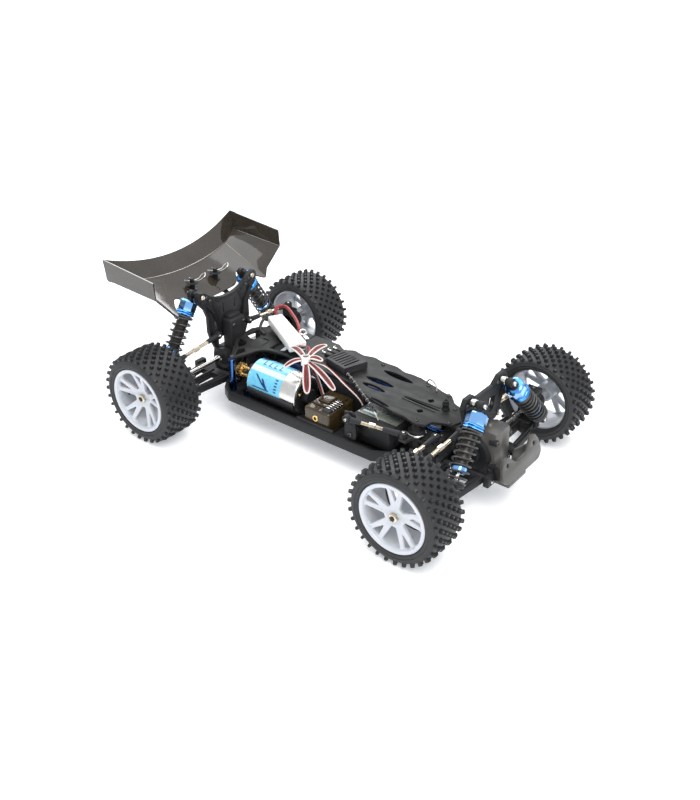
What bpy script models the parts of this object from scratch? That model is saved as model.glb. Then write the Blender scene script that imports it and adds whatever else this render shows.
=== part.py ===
"""A 1/10 scale four-wheel-drive off-road buggy without its body shell.

Frame: +X points forward, +Y to the driver's left and +Z up. The origin is on the ground
under the middle of the car's overall length and width. The wheels spin about Y, the
suspension swings about X and the front wheels steer about Z.
"""
import math

import bmesh
import bpy
from mathutils import Matrix, Vector

# ---------------------------------------------------------------- driving dimensions
MM = 0.001                  # one millimetre in metres; every size below is in millimetres
WHEELBASE = 275.0
REAR_AXLE_X = -119.95       # the rear axle's place ahead of the origin
AXLE_Z = 42.0               # axle height, which is also the tyre's radius
TYRE_R = 42.0
RIM_R = 28.6                # outer radius of the rim's barrel
RIM_LIP_R = 29.6
WHEEL_STEPS = 24            # flat sides of a wheel's round surfaces
GAP = 0.35                  # air between two pieces that touch on the real car
LUG_GAP = 1.0               # air beside a shock's lower eye, which moves along X a little
TOUCH = 0.6                 # how far two shapes of one moulding run into each other

FLOOR_Z = 22.0              # underside of the chassis tub
FLOOR_TOP_Z = 24.6
TUB_WALL_Z = 31.0
DECK_Z = 60.0               # top of the upper deck
DECK_THICKNESS = 2.5
SHAFT_Z = 40.0              # centre driveshaft's height, on the centre line
MOTOR_Y = -26.0
MOTOR_Z = 43.0
SPUR_X = (31.0, 36.0)
SPUR_R = 19.4
PINION_R = 6.3
ARM_Z = 30.0                # height of the lower arms' hinge pins
ARM_THICKNESS = 6.0
CARRIER_HALF_X = 7.0        # half width of a hub carrier between the arm's two ears
KNUCKLE_Y = 85.0            # kingpin's distance from the centre line
SHOCK_EYE_HALF = 2.5        # half thickness of a shock's eyes along X
CUP_DROP = 12.0             # the spring cup's top face above the lower eye
TIE_ROD_Z = 51.8
STEER_X = 247.0             # tie rod balls' distance ahead of the rear axle
SAVER_X = 227.0             # the servo saver turns on a deck post here
SAVER_Y = -23.0
POST_R = 2.2                # radius of the steering posts


class Axle:
    """The sizes that differ between the front and the rear suspension."""

    def __init__(self, name, x, arm_y, shock, camber, wheel):
        self.name = name
        self.x = x                              # axle, ahead of the rear axle
        self.pin_y, self.hub_pin_y = arm_y      # inner and outer hinge pins
        self.inner_half, self.outer_half = 19.0, 11.0
        self.shock_top, self.shock_eye, self.shock_end = shock
        self.camber_x, self.camber_inner, self.camber_outer = camber
        self.rim_face_y, self.rim_width, self.tyre_width = wheel


FRONT = Axle("front", WHEELBASE, (24.0, 78.0),
             ((10.0, 23.0, 94.0), (17.0, 74.0, 39.0), 55.0),
             (-8.0, (22.0, 62.5), (78.0, 61.2)),
             (126.7, 31.0, 38.7))
REAR = Axle("rear", 0.0, (26.0, 82.0),
            ((-18.0, 33.0, 107.0), (-18.0, 77.0, 38.0), 57.5),
            (0.8, (21.0, 66.0), (79.0, 60.6)),
            (124.5, 36.0, 40.5))
SIDES = (("left", 1), ("right", -1))

COLOURS = {                 # colour, roughness, metallic
    "black_composite": ((0.030, 0.031, 0.033), 0.55, 0.0),
    "grey_composite": ((0.060, 0.061, 0.063), 0.50, 0.0),
    "white_nylon": ((0.85, 0.86, 0.88), 0.35, 0.0),
    "tyre_rubber": ((0.022, 0.022, 0.023), 0.80, 0.0),
    "blue_anodised": ((0.02, 0.22, 0.62), 0.25, 1.0),
    "spring_steel": ((0.05, 0.05, 0.055), 0.35, 1.0),
    "bright_steel": ((0.62, 0.61, 0.58), 0.25, 1.0),
    "brass": ((0.72, 0.52, 0.22), 0.30, 1.0),
    "motor_label": ((0.25, 0.62, 0.80), 0.30, 0.2),
    "smoked_sheet": ((0.13, 0.115, 0.10), 0.15, 0.0),
    "receiver_case": ((0.09, 0.075, 0.055), 0.25, 0.0),
    "battery_wrap": ((0.03, 0.10, 0.35), 0.30, 0.0),
    "red_wire": ((0.55, 0.05, 0.05), 0.45, 0.0),
}


# ---------------------------------------------------------------- shape helpers
def at(x, y, z):
    """A point in metres, given in millimetres ahead of the rear axle, left and up."""
    return Vector(((REAR_AXLE_X + x) * MM, y * MM, z * MM))


def clear_scene():
    for scene_object in list(bpy.data.objects):
        bpy.data.objects.remove(scene_object, do_unlink=True)


def new_collection(name):
    collection = bpy.data.collections.new(name)
    bpy.context.scene.collection.children.link(collection)
    return collection


clear_scene()
PARTS = new_collection("rc_buggy")
CUTTERS = new_collection("cutters")
MATERIALS = {}


def material(name):
    """The Principled material of one of the COLOURS, made once."""
    if name not in MATERIALS:
        colour, roughness, metallic = COLOURS[name]
        made = bpy.data.materials.new(name)
        made.use_nodes = True
        shader = made.node_tree.nodes["Principled BSDF"]
        shader.inputs["Base Color"].default_value = (*colour, 1.0)
        shader.inputs["Roughness"].default_value = roughness
        shader.inputs["Metallic"].default_value = metallic
        MATERIALS[name] = made
    return MATERIALS[name]


def solid(bm):
    """Puts a bmesh in the cutters' collection, as a shape to fuse or to cut with."""
    bmesh.ops.recalc_face_normals(bm, faces=bm.faces)
    mesh = bpy.data.meshes.new("shape")
    bm.to_mesh(mesh)
    bm.free()
    shape = bpy.data.objects.new("shape", mesh)
    shape.hide_render = True
    shape.display_type = "WIRE"
    CUTTERS.objects.link(shape)
    return shape


def block(low, high, bevel=0.0):
    """A box between two corners given as (x, y, z), in any order."""
    first, second = at(*low), at(*high)
    size = [abs(a - b) for a, b in zip(first, second)]
    bm = bmesh.new()
    bmesh.ops.create_cube(bm, size=1.0)
    bmesh.ops.scale(bm, vec=size, verts=bm.verts)
    if bevel:
        bmesh.ops.bevel(bm, geom=bm.edges[:], offset=bevel * MM, segments=1, affect="EDGES")
    bmesh.ops.translate(bm, vec=(first + second) / 2, verts=bm.verts)
    return solid(bm)


def rod(start, end, radius, end_radius=None, sides=12, turn=0.0):
    """A round or many-sided bar between two points."""
    first, second = at(*start), at(*end)
    along = second - first
    bm = bmesh.new()
    bmesh.ops.create_cone(bm, cap_ends=True, segments=sides, radius1=radius * MM,
                          radius2=(end_radius or radius) * MM, depth=along.length)
    place = Matrix.Translation((first + second) / 2) @ along.to_track_quat("Z", "Y").to_matrix().to_4x4()
    bmesh.ops.transform(bm, matrix=place @ Matrix.Rotation(math.radians(turn), 4, "Z"), verts=bm.verts)
    return solid(bm)


def ball(centre, radius):
    bm = bmesh.new()
    bmesh.ops.create_uvsphere(bm, u_segments=8, v_segments=5, radius=radius * MM)
    bmesh.ops.translate(bm, vec=at(*centre), verts=bm.verts)
    return solid(bm)


def frame_of(origin, u_axis, v_axis):
    """The matrix that lays a drawing's u and v along two world directions at a point."""
    u_axis, v_axis = Vector(u_axis).normalized(), Vector(v_axis).normalized()
    rotation = Matrix((u_axis, v_axis, u_axis.cross(v_axis))).transposed().to_4x4()
    return Matrix.Translation(at(*origin)) @ rotation


def plate(outlines, thickness, place):
    """A flat plate, centred on its drawing: the first outline is its edge, the rest are holes."""
    curve = bpy.data.curves.new("outline", "CURVE")
    curve.dimensions = "2D"
    curve.fill_mode = "BOTH"
    curve.extrude = thickness * MM / 2
    for outline in outlines:
        spline = curve.splines.new("POLY")
        spline.points.add(len(outline) - 1)
        for point, (u, v) in zip(spline.points, outline):
            point.co = (u * MM, v * MM, 0.0, 1.0)
        spline.use_cyclic_u = True
    return curve_to_shape(curve, place)


def curve_to_shape(curve, place):
    """Turns a curve into a closed mesh shape at a place, with its caps welded on."""
    source = bpy.data.objects.new("curve", curve)
    source.matrix_world = place
    CUTTERS.objects.link(source)
    evaluated = source.evaluated_get(bpy.context.evaluated_depsgraph_get())
    mesh = bpy.data.meshes.new_from_object(evaluated)
    bm = bmesh.new()
    bm.from_mesh(mesh)
    bmesh.ops.remove_doubles(bm, verts=bm.verts, dist=0.00001)
    bmesh.ops.transform(bm, matrix=place, verts=bm.verts)
    bpy.data.objects.remove(source)
    bpy.data.meshes.remove(mesh)
    return solid(bm)


def tube(points, radius, closed=False):
    """A round wire or bar bent through points given as (x, y, z)."""
    curve = bpy.data.curves.new("tube", "CURVE")
    curve.dimensions = "3D"
    curve.bevel_depth = radius * MM
    curve.bevel_resolution = 2
    curve.use_fill_caps = not closed
    spline = curve.splines.new("POLY")
    spline.points.add(len(points) - 1)
    for point, place in zip(spline.points, points):
        point.co = (*at(*place), 1.0)
    spline.use_cyclic_u = closed
    return curve_to_shape(curve, Matrix.Identity(4))


def wheel_ring(axle, side, profile, steps=WHEEL_STEPS):
    """A closed profile of (y, radius) points turned about the wheel's axle."""
    mesh = bpy.data.meshes.new("profile")
    points = [(radius * MM, 0.0, side * y * MM) for y, radius in profile]
    count = len(points)
    mesh.from_pydata(points, [(i, (i + 1) % count) for i in range(count)], [])
    shape = bpy.data.objects.new("shape", mesh)
    CUTTERS.objects.link(shape)
    screw = shape.modifiers.new("turn", "SCREW")
    screw.steps = steps
    screw.render_steps = steps
    screw.use_merge_vertices = True
    screw.merge_threshold = 0.00001
    evaluated = shape.evaluated_get(bpy.context.evaluated_depsgraph_get())
    bm = bmesh.new()
    bm.from_mesh(evaluated.to_mesh())
    bpy.data.objects.remove(shape)
    # the profile is turned about Z, then Z is laid along Y with the wheel's X unchanged
    centre = Matrix.Translation(at(axle.x, 0, AXLE_Z))
    lay_over = Matrix(((1, 0, 0, 0), (0, 0, 1, 0), (0, 1, 0, 0), (0, 0, 0, 1)))
    bmesh.ops.transform(bm, matrix=centre @ lay_over, verts=bm.verts)
    return solid(bm)


def part(name, colour, shapes, cutters=(), pivot=None):
    """Fuses shapes into one named part, cuts it, and puts its origin on its joint's axis."""
    base = shapes[0]
    for operation, others in (("UNION", shapes[1:]), ("DIFFERENCE", cutters)):
        for other in others:
            boolean = base.modifiers.new(operation.lower(), "BOOLEAN")
            boolean.operation = operation
            boolean.solver = "EXACT"
            boolean.object = other
    evaluated = base.evaluated_get(bpy.context.evaluated_depsgraph_get())
    mesh = bpy.data.meshes.new_from_object(evaluated)
    for shape in [*shapes, *cutters]:
        bpy.data.objects.remove(shape)
    bm = bmesh.new()
    bm.from_mesh(mesh)
    bmesh.ops.remove_doubles(bm, verts=bm.verts, dist=0.00001)
    bmesh.ops.dissolve_limit(bm, angle_limit=math.radians(0.2), verts=bm.verts, edges=bm.edges)
    bmesh.ops.triangulate(bm, faces=bm.faces)
    bm.to_mesh(mesh)
    bm.free()
    origin = at(*pivot) if pivot else Vector((0.0, 0.0, 0.0))
    mesh.transform(Matrix.Translation(-origin))
    mesh.materials.clear()
    mesh.materials.append(material(colour))
    mesh.shade_smooth()
    mesh.set_sharp_from_angle(angle=math.radians(35))
    mesh.name = name
    made = bpy.data.objects.new(name, mesh)
    made.location = origin
    PARTS.objects.link(made)
    return made


def circle(centre, radius, count=12, start=0.0):
    """The points of a circle, or of part of one, in a flat drawing."""
    steps = [start + 2 * math.pi * i / count for i in range(count)]
    return [(centre[0] + radius * math.cos(a), centre[1] + radius * math.sin(a)) for a in steps]


def slot(first, second, width):
    """A long round-ended hole between two points of a flat drawing."""
    first, second = Vector(first), Vector(second)
    along = (second - first).normalized()
    across = Vector((-along.y, along.x))
    outline = []
    for centre, direction in ((second, 1), (first, -1)):
        for angle in (-90, -30, 30, 90):
            turn = math.radians(angle)
            offset = along * direction * math.cos(turn) + across * direction * math.sin(turn)
            outline.append(tuple(centre + offset * width / 2))
    return outline


def mirrored(half):
    """Closes a drawing's right half, listed bottom to top, with its mirror image in u."""
    return half + [(-u, v) for u, v in reversed(half)]


def both_sides(half):
    """Closes a plan's left half, listed rear to front, with its mirror image in v."""
    return half + [(u, -v) for u, v in reversed(half)]


# ---------------------------------------------------------------- chassis and deck
TUB_HALF = [(-24, 19), (19.9, 19.5), (20.1, 33), (28, 44), (38, 50), (200, 50), (244, 25),
            (253, 19), (296, 15)]
TUB_POCKET_HALF = [(23, 16), (23, 31), (30, 41), (39, 46.5), (199, 46.5), (241, 22.5), (250, 16)]


def chassis_tub():
    """The moulded floor: a tray with a raised rim, pivot blocks and a slot for the spur gear."""
    outer_height = TUB_WALL_Z - FLOOR_Z
    floor_height = FLOOR_TOP_Z - FLOOR_Z
    outline, pocket = both_sides(TUB_HALF), both_sides(TUB_POCKET_HALF)
    waist = both_sides([point for point in TUB_HALF if 19 < point[0] <= 253])
    tray = plate([waist], outer_height, frame_of((0, 0, FLOOR_Z + outer_height / 2), (1, 0, 0), (0, 1, 0)))
    tray_pocket = plate([pocket], outer_height,
                        frame_of((0, 0, FLOOR_TOP_Z + outer_height / 2), (1, 0, 0), (0, 1, 0)))
    snout_notch = block((16, -11, FLOOR_TOP_Z), (26, 11, TUB_WALL_Z + 1))
    tray = part("tray", "black_composite", [tray], [tray_pocket, snout_notch])
    floor = plate([outline], floor_height,
                  frame_of((0, 0, FLOOR_Z + floor_height / 2), (1, 0, 0), (0, 1, 0)))
    shapes = [floor, tray]
    for x in (56, 84, 113):
        shapes.append(block((x, -47, FLOOR_TOP_Z - TOUCH), (x + 2.5, -41, TUB_WALL_Z - 2)))
    shapes.append(block((118, -47.8, FLOOR_TOP_Z), (158, -46.0, 34.0)))
    spur_slot = block((SPUR_X[0] - 2, -18, FLOOR_Z - 5), (SPUR_X[1] + 2, 18, FLOOR_TOP_Z + 5))
    return part("chassis_tub", "black_composite", shapes, [spur_slot])


DECK_OUTLINE = [(86, -4), (150, -8), (175, -19), (204, -25), (216, -25.5), (222, -27.5), (229, -29),
                (237, -26), (239, -18.5), (247.5, -14.8), (254.5, -12.5), (257.5, -4.4), (253.6, 5),
                (248.7, 13.7), (237.5, 17.8), (229, 27), (220, 28), (211.5, 31), (197, 35), (180.5, 38),
                (162, 41), (146, 40.5), (125, 40.5), (113, 42.5), (104, 38), (95, 43), (86, 40)]
DECK_SLOTS = [((157, 28), (190, 24.5), 7.0), ((151, 9.5), (181, 8.5), 7.0), ((155, -1), (180, -3), 6.0),
              ((176, -17.5), (197, -21), 3.4), ((197, 0.5), (236, -0.5), 2.4)]
BRACE_OUTLINE = [(15.7, -14), (26, -31), (33, -17), (37, -7), (41, -3), (48, -2), (95, -4), (95, 43),
                 (62, 47), (34, 48), (20, 40), (15.7, 30)]
BRACE_WINDOWS = [[(19.5, -11.5), (22.7, -9), (28.5, -12.5), (26.6, -23)],
                 [(18.5, -5), (25, -5.5), (25, 2), (18.5, 1)],
                 [(18.5, 8), (25, 9), (25, 22), (18.5, 19)],
                 [(46, 2), (46, 12), (49.5, 21), (60, 12.4), (62, 5), (54.3, 2)]]
BRACE_TILT = math.atan2(9.0, 98.0)      # the brace falls 9 mm from the deck to its rear end


def upper_deck():
    """The stiffening deck on its legs, its sloping rear brace and the hump over the spur gear."""
    centre_z = DECK_Z - DECK_THICKNESS / 2
    holes = [slot(first, second, width) for first, second, width in DECK_SLOTS]
    holes += [circle((x, y), 4.4, 4) for x, y in ((219.5, 9), (221.2, -10.4))]
    deck = plate([DECK_OUTLINE, *holes], DECK_THICKNESS, frame_of((0, 0, centre_z), (1, 0, 0), (0, 1, 0)))
    slope = (math.cos(BRACE_TILT), 0.0, math.sin(BRACE_TILT))
    drawing = [[(x - 95, y) for x, y in outline] for outline in (BRACE_OUTLINE, *BRACE_WINDOWS)]
    brace = plate(drawing, DECK_THICKNESS, frame_of((95, 0, centre_z), slope, (0, 1, 0)))
    shapes = [deck, brace]
    gear_cover = rod((SPUR_X[0] - 4, 0, SHAFT_Z), (SPUR_X[1] + 4, 0, SHAFT_Z), SPUR_R + 3.2, sides=24)
    shapes.append(gear_cover)
    hollow = rod((SPUR_X[0] - 2, 0, SHAFT_Z), (SPUR_X[1] + 2, 0, SHAFT_Z), SPUR_R + 1.4, sides=24)
    below = block((SPUR_X[0] - 8, -40, 0), (SPUR_X[1] + 8, 40, DECK_Z - 9.0))
    pinion_room = block((SPUR_X[0] - 0.5, -40, 0), (SPUR_X[1] + 8, -9.0, DECK_Z + 9.0))
    legs = [(26.2, -27.8, DECK_Z - 7.5, 2.6), (50, 41.5, DECK_Z - 5.5, 2.6), (203, 29, DECK_Z - 2, 2.6),
            (161.5, -8, DECK_Z - 2, 2.4), (SAVER_X, SAVER_Y, DECK_Z - 2, POST_R),
            (SAVER_X, -SAVER_Y, DECK_Z - 2, POST_R)]
    body = part("deck_body", "grey_composite", shapes, [hollow, below, pinion_room])
    posts = [rod((x, y, FLOOR_TOP_Z + GAP), (x, y, top), radius, sides=8) for x, y, top, radius in legs]
    return part("upper_deck", "grey_composite", [body, *posts])


# ---------------------------------------------------------------- gearboxes, towers, bumper
def gearbox(axle, direction):
    """A differential housing with its output bosses and a snout towards the centre shaft."""
    x = axle.x
    base_z = FLOOR_TOP_Z + GAP
    shapes = [
        rod((x, -15, AXLE_Z), (x, 15, AXLE_Z), 17.0, sides=20),
        rod((x, -18.5, AXLE_Z), (x, 18.5, AXLE_Z), 8.0, sides=16),
        block((x - 15, -13.5, base_z), (x + 15, 13.5, AXLE_Z), 1.0),
        rod((x + direction * 10, 0, SHAFT_Z), (x + direction * 20, 0, SHAFT_Z), 9.0, sides=16),
    ]
    if axle is FRONT:
        shapes.append(block((x + 1.7, -12.5, base_z + 1), (x + 21, 12.5, 66), 4.0))
    else:
        shapes.append(block((x - 3.3, -11.5, AXLE_Z + 8), (x + 12, 8.5, 80), 2.0))
    return part(axle.name + "_gearbox", "black_composite", shapes)


FRONT_TOWER_HALF = [(15, 59.8), (19, 60), (24, 65), (27, 74), (31, 84), (34, 92), (30, 99),
                    (20, 99), (12, 93)]
REAR_TOWER_HALF = [(15.9, 59.6), (16.1, 49.6), (20, 50.5), (24, 59), (27, 69), (27, 84), (31, 93.5),
                   (36.5, 99.5), (39.4, 105), (38.8, 109), (36, 112), (30, 110.5), (24, 105.5),
                   (18, 102.3), (12, 100.2), (5, 98.9)]


def shock_tower(axle, x_range, half, windows, tops):
    """A tower plate with its window cut-outs, bolt holes and the stand-offs for shocks and links."""
    x_low, x_high = axle.x + x_range[0], axle.x + x_range[1]
    middle = (x_low + x_high) / 2
    outline = mirrored(half)
    holes = []
    for window in windows:
        holes.append(window)
        holes.append([(-u, v) for u, v in window])
    holes += [circle((side * u, v), 1.3, 6) for u, v in tops for side in (1, -1)]
    shapes = [plate([outline, *holes], x_high - x_low, frame_of((middle, 0, 0), (0, 1, 0), (0, 0, 1)))]
    top_x, top_y, top_z = axle.shock_top
    shock_side = 1 if top_x > 0 else -1
    eye_x = axle.x + top_x - shock_side * (SHOCK_EYE_HALF + GAP)
    link_side = 1 if axle.camber_x > x_range[0] else -1
    link_x = axle.x + axle.camber_x - link_side * (2.5 + GAP)
    for _, side in SIDES:
        shapes.append(rod((middle, side * top_y, top_z), (eye_x, side * top_y, top_z), 3.0, sides=8))
        link_y, link_z = axle.camber_inner
        shapes.append(rod((middle, side * link_y, link_z), (link_x, side * link_y, link_z), 3.2, sides=8))
    if axle is REAR:
        for _, side in SIDES:
            shapes.append(rod((middle, side * 15.3, 84), (-35, side * 15.3, 97.4), 2.6, 2.2, sides=8))
    return part(axle.name + "_shock_tower", "black_composite", shapes)


BUMPER_OUTLINE = [(25.7, 11.4), (31, 17), (29, 27), (24.6, 34.2), (19, 33.8), (8, 24)]
BUMPER_TILT = math.radians(16.0)
NOSE_X = 316.1              # the foremost point of the car


def front_bumper():
    """The upright nose plate with its notch, screw holes and the foot that bolts under the tub."""
    lean = (-math.sin(BUMPER_TILT), 0.0, math.cos(BUMPER_TILT))
    foot_end = NOSE_X - 5.0
    holes = [circle((side * 21, 27), 1.8, 8) for side in (1, -1)]
    face = plate([mirrored(BUMPER_OUTLINE), *holes], 3.0, frame_of((317.8, 0, FLOOR_Z), (0, 1, 0), lean))
    foot = block((296.4, -14, FLOOR_Z), (foot_end, 14, FLOOR_TOP_Z + 2.0), 0.5)
    gussets = [block((297.5, side * 11, FLOOR_Z + 1), (NOSE_X - 1.9, side * 13.5, 37.2)) for side in (1, -1)]
    return part("front_bumper", "grey_composite", [foot, face, *gussets])


# ---------------------------------------------------------------- rear wing
WING_STATIONS = (-1.0, -0.72, -0.48, -0.24, 0.0, 0.24, 0.48, 0.72, 1.0)
WING_HALF_SPAN = 82.0
WING_SHEET = 1.2


def wing_top_edge(station):
    return (-76.5 + 4.0 * (1 - station ** 2), WING_HALF_SPAN * station, 124.5 + 17.4 * station ** 2)


def wing_fold(station):
    """The crease between the lip and the main plane, rising where the side panels begin."""
    if abs(station) > 0.9:
        return (-73.9, WING_HALF_SPAN * station, 123.1)
    swept = (station / 0.72) ** 2
    return (-58.5 - 5.0 * swept, WING_HALF_SPAN * station, 111.5 + 5.7 * swept)


def wing_front_edge(station):
    """The main plane's leading edge, cut back where the shocks stand."""
    if abs(station) > 0.9:
        return (-10.5, WING_HALF_SPAN * station, 120.0)
    reach = {0.0: -19.5, 0.24: -21.0, 0.48: -32.0, 0.72: -14.0}[abs(station)]
    fold = wing_fold(station)
    return (reach, WING_HALF_SPAN * station * (1.04 if abs(station) > 0.7 else 1.0),
            fold[2] - (reach - fold[0]) * 0.437)


def rear_wing():
    """A bent sheet: curved lip, sloping main plane, slanted side panels and upright end plates."""
    bm = bmesh.new()
    rows = [[bm.verts.new(at(*edge(s))) for s in WING_STATIONS]
            for edge in (wing_top_edge, wing_fold, wing_front_edge)]
    for upper, lower in zip(rows, rows[1:]):
        for i in range(len(WING_STATIONS) - 1):
            bm.faces.new((upper[i], upper[i + 1], lower[i + 1], lower[i]))
    for end in (0, -1):
        side = WING_STATIONS[end]
        top_front = bm.verts.new(at(-12.0, WING_HALF_SPAN * side, 136.0))
        bm.faces.new((rows[0][end], rows[1][end], rows[2][end], top_front))
    bmesh.ops.recalc_face_normals(bm, faces=bm.faces)
    mesh = bpy.data.meshes.new("wing_sheet")
    bm.to_mesh(mesh)
    bm.free()
    sheet = bpy.data.objects.new("wing_sheet", mesh)
    CUTTERS.objects.link(sheet)
    thicken = sheet.modifiers.new("thickness", "SOLIDIFY")
    thicken.thickness = WING_SHEET * MM
    thicken.offset = 0.0
    thicken.use_even_offset = True
    return part("rear_wing", "smoked_sheet", [sheet])


# ---------------------------------------------------------------- suspension
def lower_arm(axle, name, side):
    """A truss-shaped arm with its hinge barrel, outer fork and shock lug."""
    x, pin, hub = axle.x, axle.pin_y, axle.hub_pin_y
    inner, outer, notch = axle.inner_half, axle.outer_half, CARRIER_HALF_X + 0.6
    fork_y = hub - 8.0
    outline = [(-inner, pin), (inner, pin), (outer + 4, fork_y - 13), (outer, fork_y - 3),
               (outer, hub + 3.5), (notch, hub + 3.0), (notch, fork_y), (-notch, fork_y),
               (-notch, hub + 3.0), (-outer, hub + 3.5), (-outer, fork_y - 3), (-outer - 4, fork_y - 13)]
    window = [(2, pin + 9), (inner - 6.5, pin + 8), (outer - 1, fork_y - 10), (2, fork_y - 9)]
    outlines = [outline, window, [(-u, v) for u, v in window]]
    flipped = [[(u, side * v) for u, v in points] for points in outlines]
    shapes = [plate(flipped, ARM_THICKNESS, frame_of((x, 0, ARM_Z), (1, 0, 0), (0, 1, 0)))]
    shapes.append(rod((x - inner, side * pin, ARM_Z), (x + inner, side * pin, ARM_Z), 3.3, sides=10))
    eye_x, eye_y, eye_z = axle.shock_eye
    outward = 1 if eye_x > 0 else -1
    lug_end = x + eye_x - outward * (SHOCK_EYE_HALF + LUG_GAP)
    shapes.append(block((x + outward * (notch + 0.4), side * (eye_y - 3), ARM_Z - 2.5),
                        (lug_end, side * (eye_y + 3.5), eye_z + 2.8), 0.8))
    return part(name + "_lower_arm", "black_composite", shapes, pivot=(x, side * pin, ARM_Z))


def front_hub_carrier(axle, name, side):
    """The C-shaped carrier: its jaws hold the knuckle's kingpin above and below."""
    x, pin = axle.x, axle.hub_pin_y
    half = CARRIER_HALF_X
    link_x, (link_y, link_z) = x + axle.camber_x, axle.camber_outer
    shapes = [
        block((x - half, side * (pin - 4), 26.6), (x + half, side * (pin + 4), 33.0), 0.6),
        block((x - half, side * (pin - 4), 30.0), (x + half, side * (pin - 0.5), 57.5)),
        block((x - half + 0.5, side * (pin - 3), 28.5), (x + half - 0.5, side * (KNUCKLE_Y + 5), 33.0)),
        block((x - half + 0.5, side * (pin - 3), 53.2), (x + half - 0.5, side * (KNUCKLE_Y + 5), 57.5)),
        rod((link_x, side * link_y, 53.6), (link_x, side * link_y, link_z - 2.5 - 0.8), 3.4, sides=10),
    ]
    bore = rod((x, side * (pin - 8), AXLE_Z), (x, side * (pin + 1), AXLE_Z), 6.2, sides=12)
    return part(name + "_hub_carrier", "black_composite", shapes, [bore], (x, side * pin, ARM_Z))


def rear_hub_carrier(axle, name, side):
    """The rear upright: a block that holds the stub axle's bearings."""
    x, pin = axle.x, axle.hub_pin_y
    half = CARRIER_HALF_X
    link_x, (link_y, link_z) = x + axle.camber_x, axle.camber_outer
    shapes = [
        block((x - half, side * (pin - 4), 26.6), (x + half, side * (pin + 4), 34.0), 0.6),
        block((x - half, side * (pin - 4), 32.0), (x + half, side * (pin + 4), 56.0), 1.0),
        rod((x, side * (pin - 1), AXLE_Z), (x, side * (pin + 9), AXLE_Z), 7.8, sides=16),
        rod((link_x, side * link_y, 54.0), (link_x, side * link_y, link_z - 2.5 - 0.8), 3.4, sides=10),
    ]
    bore = rod((x, side * (pin - 8), AXLE_Z), (x, side * (pin + 12), AXLE_Z), 6.2, sides=12)
    return part(name + "_hub_carrier", "black_composite", shapes, [bore], (x, side * pin, ARM_Z))


def link_with_rod_ends(name, start, end, end_axes, pivot):
    """A threaded link: a bright rod with a moulded rod end on each side."""
    along = (Vector(end) - Vector(start)).normalized()
    shapes = [rod(start, end, 1.6, sides=6)]
    middle = (Vector(start) + Vector(end)) / 2
    shapes.append(rod(middle - along * 5, middle + along * 5, 2.3, sides=6))
    for centre, axis, inward in ((Vector(start), end_axes[0], along), (Vector(end), end_axes[1], -along)):
        half = Vector(axis) * 2.5
        shapes.append(rod(centre - half, centre + half, 3.6, sides=10))
        shapes.append(rod(centre + inward * 2.0, centre + inward * 16.0, 2.6, 2.3, sides=6))
    return part(name, "bright_steel", shapes, pivot=pivot)


def camber_link(axle, name, side):
    x = axle.x + axle.camber_x
    (inner_y, inner_z), (outer_y, outer_z) = axle.camber_inner, axle.camber_outer
    start, end = (x, side * inner_y, inner_z), (x, side * outer_y, outer_z)
    return link_with_rod_ends(name + "_camber_link", start, end, ((1, 0, 0), (0, 0, 1)), start)


def along_shock(axle, side, distance):
    """The point on a shock's axis at a distance below its top bolt."""
    top, eye = Vector(axle.shock_top), Vector(axle.shock_eye)
    point = top + (eye - top).normalized() * distance
    return (axle.x + point.x, side * point.y, point.z)


def shock_length(axle):
    return (Vector(axle.shock_eye) - Vector(axle.shock_top)).length


def shock_body(axle, name, side):
    """The oil cylinder: eye, hexagonal cap, collar, ribbed barrel and lower cap, bored for the shaft."""
    def point(distance):
        return along_shock(axle, side, distance)

    x, y, z = point(0)
    shapes = [
        rod((x - SHOCK_EYE_HALF, y, z), (x + SHOCK_EYE_HALF, y, z), 4.0, sides=12),
        rod(point(1), point(7), 2.5, sides=8),
        rod(point(5.5), point(17), 8.4, sides=6, turn=30),
        rod(point(16), point(20), 8.9, sides=16),
        rod(point(19), point(axle.shock_end - 5), 5.8, sides=16),
        rod(point(axle.shock_end - 5.5), point(axle.shock_end), 6.3, sides=12),
    ]
    bore = rod(point(21), point(axle.shock_end + 4), 2.0, sides=8)
    return part(name + "_shock_body", "blue_anodised", shapes, [bore], point(0))


def shock_shaft(axle, name, side):
    """The piston rod with the spring cup and the lower eye."""
    def point(distance):
        return along_shock(axle, side, distance)

    length = shock_length(axle)
    x, y, z = point(length)
    shapes = [
        rod(point(31), point(length - 5), 1.6, sides=8),
        rod(point(length - CUP_DROP), point(length - CUP_DROP + 2.5), 8.3, sides=16),
        rod(point(length - CUP_DROP + 2), point(length - 1), 2.3, sides=8),
        rod((x - SHOCK_EYE_HALF, y, z), (x + SHOCK_EYE_HALF, y, z), 4.0, sides=12),
    ]
    return part(name + "_shock_shaft", "bright_steel", shapes, pivot=point(length))


def spring(axle, name, side, turns=5, per_turn=7):
    """The coil round the shock, from the collar to the spring cup."""
    coil_r, wire_r = 8.1, 0.75
    top, end = 20.0 + GAP + wire_r, shock_length(axle) - CUP_DROP - GAP - wire_r
    start_point = Vector(along_shock(axle, side, top))
    end_point = Vector(along_shock(axle, side, end))
    down = (end_point - start_point).normalized()
    normal = down.cross(Vector((1, 0, 0))).normalized()
    across = normal.cross(down)
    points = []
    for i in range(turns * per_turn + 1):
        angle = 2 * math.pi * i / per_turn
        centre = start_point.lerp(end_point, i / (turns * per_turn))
        points.append(tuple(centre + (across * math.cos(angle) + normal * math.sin(angle)) * coil_r))
    return part(name + "_spring", "spring_steel", [tube(points, wire_r)], pivot=along_shock(axle, side, 0))


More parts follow.
